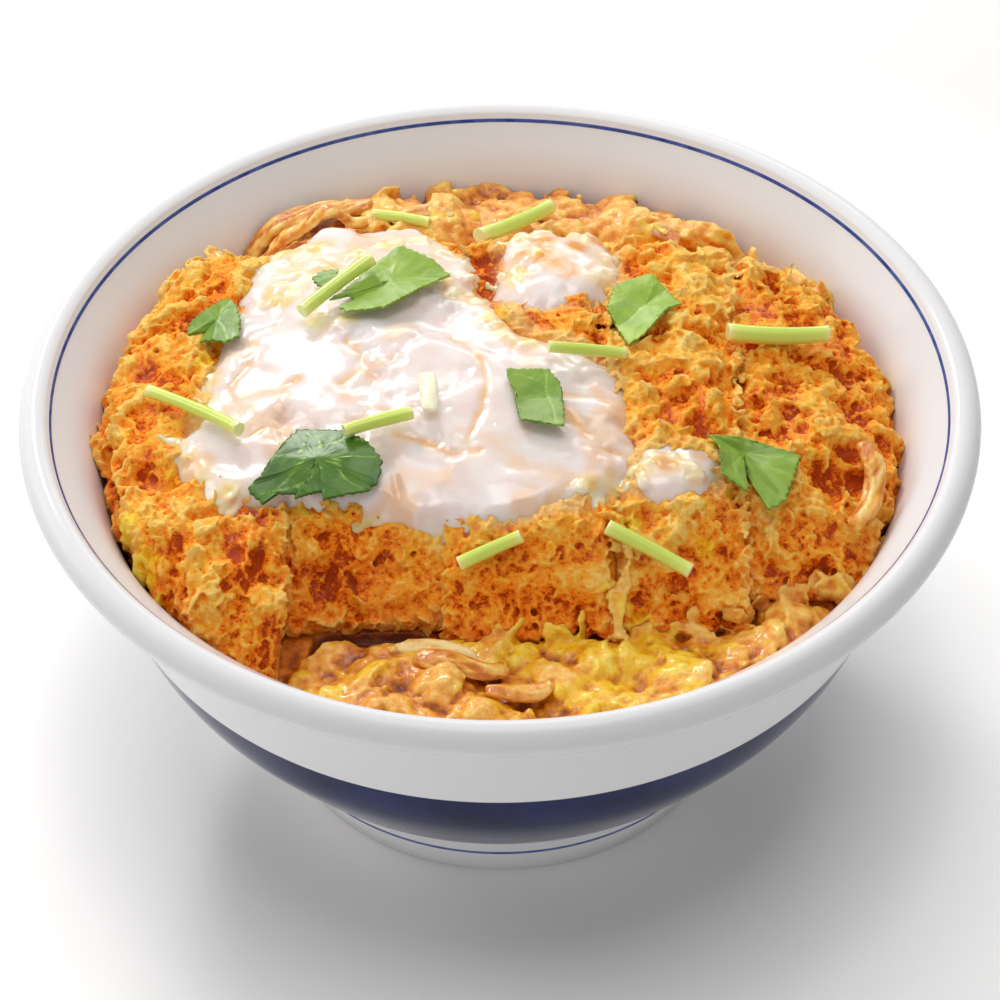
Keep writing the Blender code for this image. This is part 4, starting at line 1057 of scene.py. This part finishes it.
def addWhite(name, look, crustTop):
    plan = whitePlan
    seed = plan["pieces"][name]
    tops, held = topMap(*nodeArrays(name))
    share = blurred(held.astype(float), 2.0)
    smoothTop = blurredInside(tops, held, 1.2)
    smoothTop = np.where(smoothTop > 1.0, smoothTop, blurredInside(tops, held, 4.0))
    crustTop = np.where(crustTop > 1.0, crustTop, smoothTop - 2.0)
    axis = np.arange(mapSide) * mapPlan["step"] - mapPlan["reach"]
    x, y = np.meshgrid(axis, axis)
    flat = np.stack([x.ravel(), y.ravel(), np.zeros(x.size)], axis=1)
    wild = (0.36 * fractal(flat, 6.0, seed) + 0.16 * fractal(flat, 2.2, seed + 1)).reshape(x.shape)
    edge = share + wild * (share > 0.04)
    body = ramped(0.25, 1.0, edge)
    warp = flat + 3.0 * np.stack([fractal(flat, 9.0, seed + k) for k in (2, 3, 4)], axis=1)
    flow = np.stack([warp[:, 0] * 0.9 - warp[:, 1] * 0.42, (warp[:, 0] * 0.42 + warp[:, 1] * 0.9) * 2.0,
                     warp[:, 2]], axis=1)
    folds = (fractal(flow, 12.0, seed + 5, 2, 0.4) + 0.1 * softNoise(flow, 4.0, seed + 6)).reshape(x.shape)
    crease = np.zeros(x.shape)
    uneven = 0.75 + 0.6 * fractal(flat, 4.0, seed + 9).reshape(x.shape)
    for wide, line in plan["creases"]:
        away = lineDistance(x, y, smoothLine(line)) + 0.5 * softNoise(flat, 2.5, seed + 10).reshape(x.shape)
        crease = np.maximum(crease, np.exp(-(away / (0.75 * wide))**2) * uneven)
    high = smoothTop + plan["fold"] * folds * body - plan["crease"] * crease - 0.7
    near, far = (np.array(corner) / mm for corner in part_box("onion_chip"))
    away = np.maximum(np.maximum(near[0] - x, x - far[0]), np.maximum(near[1] - y, y - far[1]))
    lying = far[2] - plan["underChip"] + 0.45 * np.maximum(away, 0)  # low enough for the chip to show
    high = np.minimum(high, np.where(away < 4, lying, 1e9))
    top = (crustTop - 1.1) * (1 - body) + high * body
    low = np.maximum(np.minimum(top - 0.9, crustTop - 2.0), 55.0)
    inside = edge > 0.2
    cell = inside[:-1, :-1] & inside[1:, :-1] & inside[:-1, 1:] & inside[1:, 1:]
    number = np.arange(mapSide**2).reshape(mapSide, mapSide)
    j, i = np.nonzero(cell)
    quad = np.stack([number[j, i], number[j, i + 1], number[j + 1, i + 1], number[j + 1, i]], axis=1)
    sides = []
    for dj, di, first, second in ((-1, 0, 0, 1), (0, 1, 1, 2), (1, 0, 2, 3), (0, -1, 3, 0)):
        sides.append(quad[~cell[j + dj, i + di]][:, [first, second]])
    sides = np.concatenate(sides)
    upper, lower = (np.stack([x.ravel(), y.ravel(), z.ravel()], axis=1) for z in (top, low))
    total = mapSide**2
    walls = np.stack([sides[:, 1], sides[:, 0], sides[:, 0] + total, sides[:, 1] + total], axis=1)
    faces = np.concatenate([quad, quad[:, ::-1] + total, walls])
    used, index = np.unique(faces, return_inverse=True)
    film = np.concatenate([upper, lower])[used], index.reshape(faces.shape)
    rng = np.random.default_rng(seed)
    lumps = np.array(plan["lumps"])
    lumps = lumps[readMap(share, lumps) > 0.12]
    parts = [film]
    if len(lumps):
        spread = np.repeat(lumps, 4, axis=0)
        spread[:, :2] += rng.normal(size=(len(spread), 2)) * spread[:, 2:] * 0.5
        ground = np.maximum(readMap(top, spread), readMap(crustTop, spread) - 0.4)
        places = np.stack([spread[:, 0], spread[:, 1], ground - 0.1], axis=1)
        upright = np.array([[0.0, 0.0, 1.0]])
        for k, size in enumerate(spread[:, 2]):
            sizes = dict(long=(0.5 * size, 0.9 * size), wide=(0.35 * size, 0.7 * size),
                         thick=plan["lumpThick"])
            parts.append(flakes(places[k:k + 1], upright, sizes, (0, 25), 0.1, 0.5, (0.0, 0.2),
                                seed + 50 + k))
    points, faces = through(*together(*parts), skin(plan["voxel"]), soften(4), thin(0.75))
    points = underGarnish(points)
    cream, stain = np.zeros((2, len(points)))
    for marks, far, near, shade in ((lumps, 1.9, 0.5, cream), (plan["stains"], 1.3, 0.3, stain)):
        for cx, cy, reach in marks:
            away = np.hypot(points[:, 0] - cx, points[:, 1] - cy)
            shade[:] = np.maximum(shade, ramped(far * reach, near * reach, away))
    stain = stain * (0.75 + 0.8 * fractal(points, 1.8, seed + 13)) * plan["stainShare"][name]
    rim = 1 - ramped(0.3, 0.6, readMap(edge, points))
    cream = np.maximum(cream * (0.6 + 0.7 * fractal(points, 3.0, seed + 12)), 0.7 * rim).clip(0, 1)
    wash = 0.5 * ramped(0.05, 0.5, fractal(points, 7.0, seed + 14))
    warm = np.maximum(readMap(crease, points), wash)
    values = {"warm": warm.clip(0, 1), "cream": cream, "stain": stain.clip(0, 1)}
    addPiece(name + "_soft", points, faces, look, [name], values)
    report(f"{name}, {len(inTriangles(faces))} triangles")


sliceTops, sliceHeld = topMap(*together(*slices, eggShape))
crustTop = blurredInside(sliceTops, sliceHeld, 1.3)
softLook = whiteLook()
for name in whiteNodes:
    addWhite(name, softLook, crustTop)


# Onion

def onionLook():
    look, tree, shader = newLook("simmeredOnion")
    fibre = speckle(tree, 0.9, 3.0)
    cloud = summed(tree, speckle(tree, 3.5, 3.0), (valueOf(tree, "streak"), 0.8))
    colour = ramp(tree, cloud, onionPlan["tones"])
    colour = blendColours(tree, valueOf(tree, "pale"), colour, onionPlan["pale"])
    setShader(shader, base=colour, rough=0.3, soft=0.5, softReach=(1.0, 0.8, 0.45), softScale=2 * mm,
              coat=0.3, coatRough=0.12, normal=bumped(tree, fibre, 0.25))
    return look


def streaksOf(points, seed):  # fibres that run round the bowl's axis
    radius, turn = np.hypot(points[:, 0], points[:, 1]), np.arctan2(points[:, 1], points[:, 0])
    places = np.stack([radius, points[:, 2], 0.15 * turn * radius], axis=1)
    return fractal(places, 1.1, seed, 2)


def crescent(spot, turn, bend, long, wide, thick, lean, tip):  # one flat curved strip of onion
    along, around = 26, 14
    rows = []
    heading = Matrix.Rotation(math.radians(turn), 3, "Z") @ Matrix.Rotation(math.radians(lean), 3, "X")
    for n in range(along + 1):
        t = 2 * n / along - 1
        angle = math.radians(bend) * t
        radius = long / max(math.radians(bend), 0.05)
        centre = Vector((radius * math.sin(angle), radius * (math.cos(angle) - 1), tip * t * t))
        out = Vector((math.sin(angle), math.cos(angle), 0))
        size = max(0.06, (1 - abs(t)**2.6)**0.5)
        ring = [centre + out * (wide * size * math.cos(a)) + Vector((0, 0, thick * size * math.sin(a)))
                for a in np.linspace(0, 2 * math.pi, around, endpoint=False)]
        rows += [list(Vector(spot) + heading @ place) for place in ring]
    return np.array(rows), tubeFaces(along + 1, around)[:, ::-1]


def addOnions():
    look = onionLook()
    for k, name in enumerate(onionPlan["pieces"]):
        points, faces = through(*nodeArrays(name), ("SUBSURF", {"levels": 2, "render_levels": 2}),
                                skin(onionPlan["voxel"]), soften(2))
        normals = normalsOf(points, faces)
        streak = streaksOf(points, 80 + k)
        points = points + normals * (0.2 * fractal(points, 3.5, 90 + k, 2) + 0.4 * streak)[:, None]
        pale = np.full(len(points), 1.0 if name == "onion_chip" else 0.0)
        addPiece(name + "_slice", points, faces, look, [name], {"pale": pale, "streak": streak})
    heights, held = topMap(*eggShape)
    ground = blurredInside(heights, held, 1.5)
    strips = []
    for x, y, turn, bend, long, wide, thick, lean in onionPlan["strips"]:
        z = readMap(ground, np.array([(x, y)]))[0] + 0.25
        strips.append(crescent((x, y, z), turn, bend, long, wide, thick, lean, 0.5))
    points, faces = through(*together(*strips), skin(onionPlan["voxel"]), soften(2))
    streak = streaksOf(points, 99)
    points = withinWall(points + normalsOf(points, faces) * (0.2 * fractal(points, 3.0, 97, 2))[:, None], 0.1)
    pale = ramped(-0.2, 0.5, fractal(points, 5.0, 98)) * 0.3
    addPiece("onion_strips", points, faces, look, [], {"pale": pale, "streak": streak})
    report(f"onion, strips {2 * len(faces)} triangles")


addOnions()


# Mitsuba: leaves with their veins, and cut stems

leafPlan = dict(
    veinWide=0.15, veinDeep=0.07, tooth=1.7, toothDeep=0.5,
    veins=dict(
        leaf_1=[[(-12, 22), (-15.5, 21.5), (-20, 21.5), (-23, 21.5), (-26, 19.5)],
                [(-17.5, 21.5), (-19.5, 25.5), (-21.5, 27.5)], [(-20, 21.5), (-21, 18.5), (-24.5, 15.5)],
                [(-15, 21.5), (-13, 25), (-12, 27.5)], [(-17.5, 21.5), (-16.5, 19.5), (-17.5, 17.5)]],
        leaf_2=[[(-33, 26), (-30, 26.5), (-26.5, 28.5)]],
        leaf_3=[[(-54.5, 16.5), (-50.5, 19), (-46.5, 21)], [(-48.5, 16.5), (-45.5, 17.5)],
                [(-50.5, 19), (-51.5, 22.5)], [(-50, 18.5), (-48.5, 15), (-47.5, 11.5)]],
        leaf_4=[[(-42.5, -26.5), (-39, -21), (-34, -20), (-30.5, -19), (-24.5, -18.5), (-22, -19.5)],
                [(-40.5, -27.5), (-34, -26.5), (-30.5, -24), (-28, -22.5), (-21, -23)],
                [(-32, -20), (-35.5, -24.5), (-37.5, -26.5)], [(-34, -20), (-32.5, -15.5)],
                [(-28, -19), (-25.5, -16.5)], [(-28, -22.5), (-26.5, -26), (-23.5, -28.5)],
                [(-30.5, -19), (-31.5, -15)]],
        leaf_5=[[(8, -2.5), (8, -7), (9, -11.5), (9.5, -16)], [(8, -5.5), (5, -4), (2, -3)],
                [(8.5, -9), (5, -9), (3, -8)]],
        leaf_6=[[(20.5, 23.5), (24, 23.5), (27.5, 24)], [(21, 19), (24, 21.5), (27, 23.5)],
                [(25, 22), (26.5, 17.5), (27.5, 13)], [(22.5, 20), (23, 14), (23.5, 9)],
                [(26.5, 23.5), (28.5, 20.5), (30.5, 17.5)]],
        leaf_7=[[(36, -14), (41, -17.5), (46, -19.5), (50.5, -21)], [(41.5, -17.5), (43, -22.5), (45.5, -28)],
                [(39.5, -16.5), (40, -21.5), (41.5, -26.5)], [(45, -19), (47, -22.5), (48, -26)],
                [(42, -15.5), (46, -16.5), (51, -17)]],
    ),
    tone=dict(leaf_1=0.75, leaf_2=0.35, leaf_3=0.4, leaf_4=0.05, leaf_5=0.5, leaf_6=0.85, leaf_7=0.6),
    deep=[(0.3, (44, 92, 18)), (0.7, (76, 122, 28))],
    pale=[(0.3, (140, 178, 54)), (0.7, (178, 206, 80))],
    vein=(150, 186, 74),
)


def leafLook():
    look, tree, shader = newLook("mitsubaLeaf")
    cloud = speckle(tree, 5.0, 3.0)
    deep, pale = (ramp(tree, cloud, leafPlan[key]) for key in ("deep", "pale"))
    colour = blendColours(tree, valueOf(tree, "tone"), deep, pale)
    colour = blendColours(tree, valueOf(tree, "vein"), colour, leafPlan["vein"])
    setShader(shader, base=colour, rough=0.36, soft=0.12, softReach=(0.5, 1.0, 0.25), softScale=0.8 * mm,
              specular=0.35, coat=0.15, coatRough=0.2, normal=bumped(tree, speckle(tree, 0.5, 3.0), 0.05))
    return look


def addLeaves():
    look = leafLook()
    plan = leafPlan
    for k, (name, veins) in enumerate(plan["veins"].items()):
        finer = ("SUBSURF", {"subdivision_type": "SIMPLE", "levels": 3, "render_levels": 3})
        points, faces = through(*nodeArrays(name), finer, soften(3), thin(0.55))
        vein = np.zeros(len(points))
        for n, line in enumerate(veins):
            wide = plan["veinWide"] * (1.0 if n == 0 else 0.7)
            away = lineDistance(points[:, 0], points[:, 1], smoothLine(line))
            vein = np.maximum(vein, np.exp(-(away / wide)**2))
        normals = normalsOf(points, faces)
        rim = points[np.abs(normals[:, 2]) < 0.45]
        middle = points.mean(axis=0)
        reach = KDTree(len(rim))
        for n, place in enumerate(rim):
            reach.insert(place, n)
        reach.balance()
        nearRim = np.array([reach.find(place)[2] for place in points])
        out = points - middle
        out[:, 2] = 0
        size = np.linalg.norm(out, axis=1)
        turn = np.arctan2(out[:, 1], out[:, 0]) * size.max() / plan["tooth"]
        tooth = np.abs((turn + 0.6 * softNoise(points, 3.0, 140 + k)) % 1 - 0.5) * 2 - 0.5
        out = out / np.maximum(size, 1e-9)[:, None]
        points = points + out * (plan["toothDeep"] * tooth * np.exp(-(nearRim / 0.7)**2))[:, None]
        quilt = fractal(points, 2.2, 120 + k, 2)
        points[:, 2] += 0.12 * quilt - plan["veinDeep"] * vein
        tone = np.full(len(points), plan["tone"][name])
        addPiece(name + "_veined", points, faces, look, [name], {"vein": vein, "tone": tone})
    report("leaves")


stemPlan = dict(sides=28, rings=40, names=[f"stem_{k}" for k in range(1, 10)], ribs=7, ribDeep=0.05,
                caps=[(0.93, 0.0), (0.6, 0.12), (0.25, 0.16)],  # how wide each ring of a cut end is, how deep
                tones=[(0.0, (214, 230, 106)), (0.6, (228, 238, 124)), (1.0, (252, 250, 176))],
                fibre=(182, 212, 80), cut=(232, 242, 170))


def stemLook():
    look, tree, shader = newLook("mitsubaStem")
    along = ramp(tree, valueOf(tree, "end"), stemPlan["tones"])
    fibre = speckle(tree, 1.0, 3.0)
    colour = blendColours(tree, calc(tree, "MULTIPLY", fibre, 0.35), along, stemPlan["fibre"])
    colour = blendColours(tree, valueOf(tree, "cut"), colour, stemPlan["cut"])
    setShader(shader, base=colour, rough=0.25, soft=0.35, softReach=(0.8, 1.0, 0.4), softScale=2.2 * mm,
              coat=0.3, coatRough=0.1, normal=bumped(tree, fibre, 0.04))
    return look


def addStems():
    look = stemLook()
    plan = stemPlan
    for k, name in enumerate(plan["names"]):
        points, _ = nodeArrays(name)
        middle = points.mean(axis=0)
        way = np.linalg.svd(points - middle)[2][0]
        along = (points - middle) @ way
        levels = np.sort(along)
        groups = [np.abs(along - level) < 1.0 for level in (levels[0], levels[-1])]
        ends = [points[g].mean(axis=0) for g in groups]
        inner = points[(along > levels[0] + 1.0) & (along < levels[-1] - 1.0)].mean(axis=0)
        radius = np.linalg.norm(np.cross(points[groups[0]] - ends[0], way), axis=1).mean()
        bow = inner - (ends[0] + ends[1]) / 2
        side = np.cross(way, (0, 0, 1))
        side /= np.linalg.norm(side)
        over = np.cross(side, way)
        rows, endShare = [], []
        for n in range(plan["rings"] + 1):
            t = n / plan["rings"]
            spot = ends[0] + (ends[1] - ends[0]) * t + bow * 4 * t * (1 - t) * 1.1
            size = radius * (1 + 0.04 * math.sin(5 * t + k)) * (1 + 0.03 * abs(2 * t - 1)**6)
            turn = np.linspace(0, 2 * math.pi, plan["sides"], endpoint=False)
            reach = size * (1 + plan["ribDeep"] * np.cos(plan["ribs"] * turn) * 0.5)
            rows.append(spot + np.outer(reach * np.cos(turn), side) + np.outer(reach * np.sin(turn), over))
            endShare += [abs(2 * t - 1)**3] * plan["sides"]
        caps = []
        for n, sign in ((0, 1), (-1, -1)):
            centre = rows[n].mean(axis=0)
            for share, dip in plan["caps"]:
                caps.append(centre + (rows[n] - centre) * share + way * dip * sign)
        order = caps[2::-1] + rows + caps[3:]
        shape = np.concatenate(order)
        faces = tubeFaces(len(order), plan["sides"])
        capShare = np.ones(3 * plan["sides"])
        share = np.concatenate([capShare, endShare, capShare])
        cut = np.concatenate([capShare, np.zeros(len(endShare)), capShare])
        shape[:, 2] = np.minimum(shape[:, 2], points[:, 2].max())
        a, b, c = (shape[faces[:, n]] for n in range(3))
        if np.einsum("ij,ij->i", a, np.cross(b, c)).sum() < 0:
            faces = faces[:, ::-1]
        addPiece(name + "_cut", shape, faces, look, [name], {"end": share, "cut": cut})
    report("stems")


addLeaves()
addStems()


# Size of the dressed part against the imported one

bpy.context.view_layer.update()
counts = {}
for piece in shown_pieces():
    counts[piece.name] = sum(len(face.vertices) - 2 for face in piece.data.polygons)
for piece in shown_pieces():
    heights = [corner.co.z for corner in piece.data.vertices]
    if min(heights) < cadBox[0].z or max(heights) > cadBox[1].z:
        print("outside", piece.name, min(heights), max(heights))
print("largest pieces", sorted(counts.items(), key=lambda pair: -pair[1])[:24])
report(f"all pieces, {sum(counts.values())} triangles")
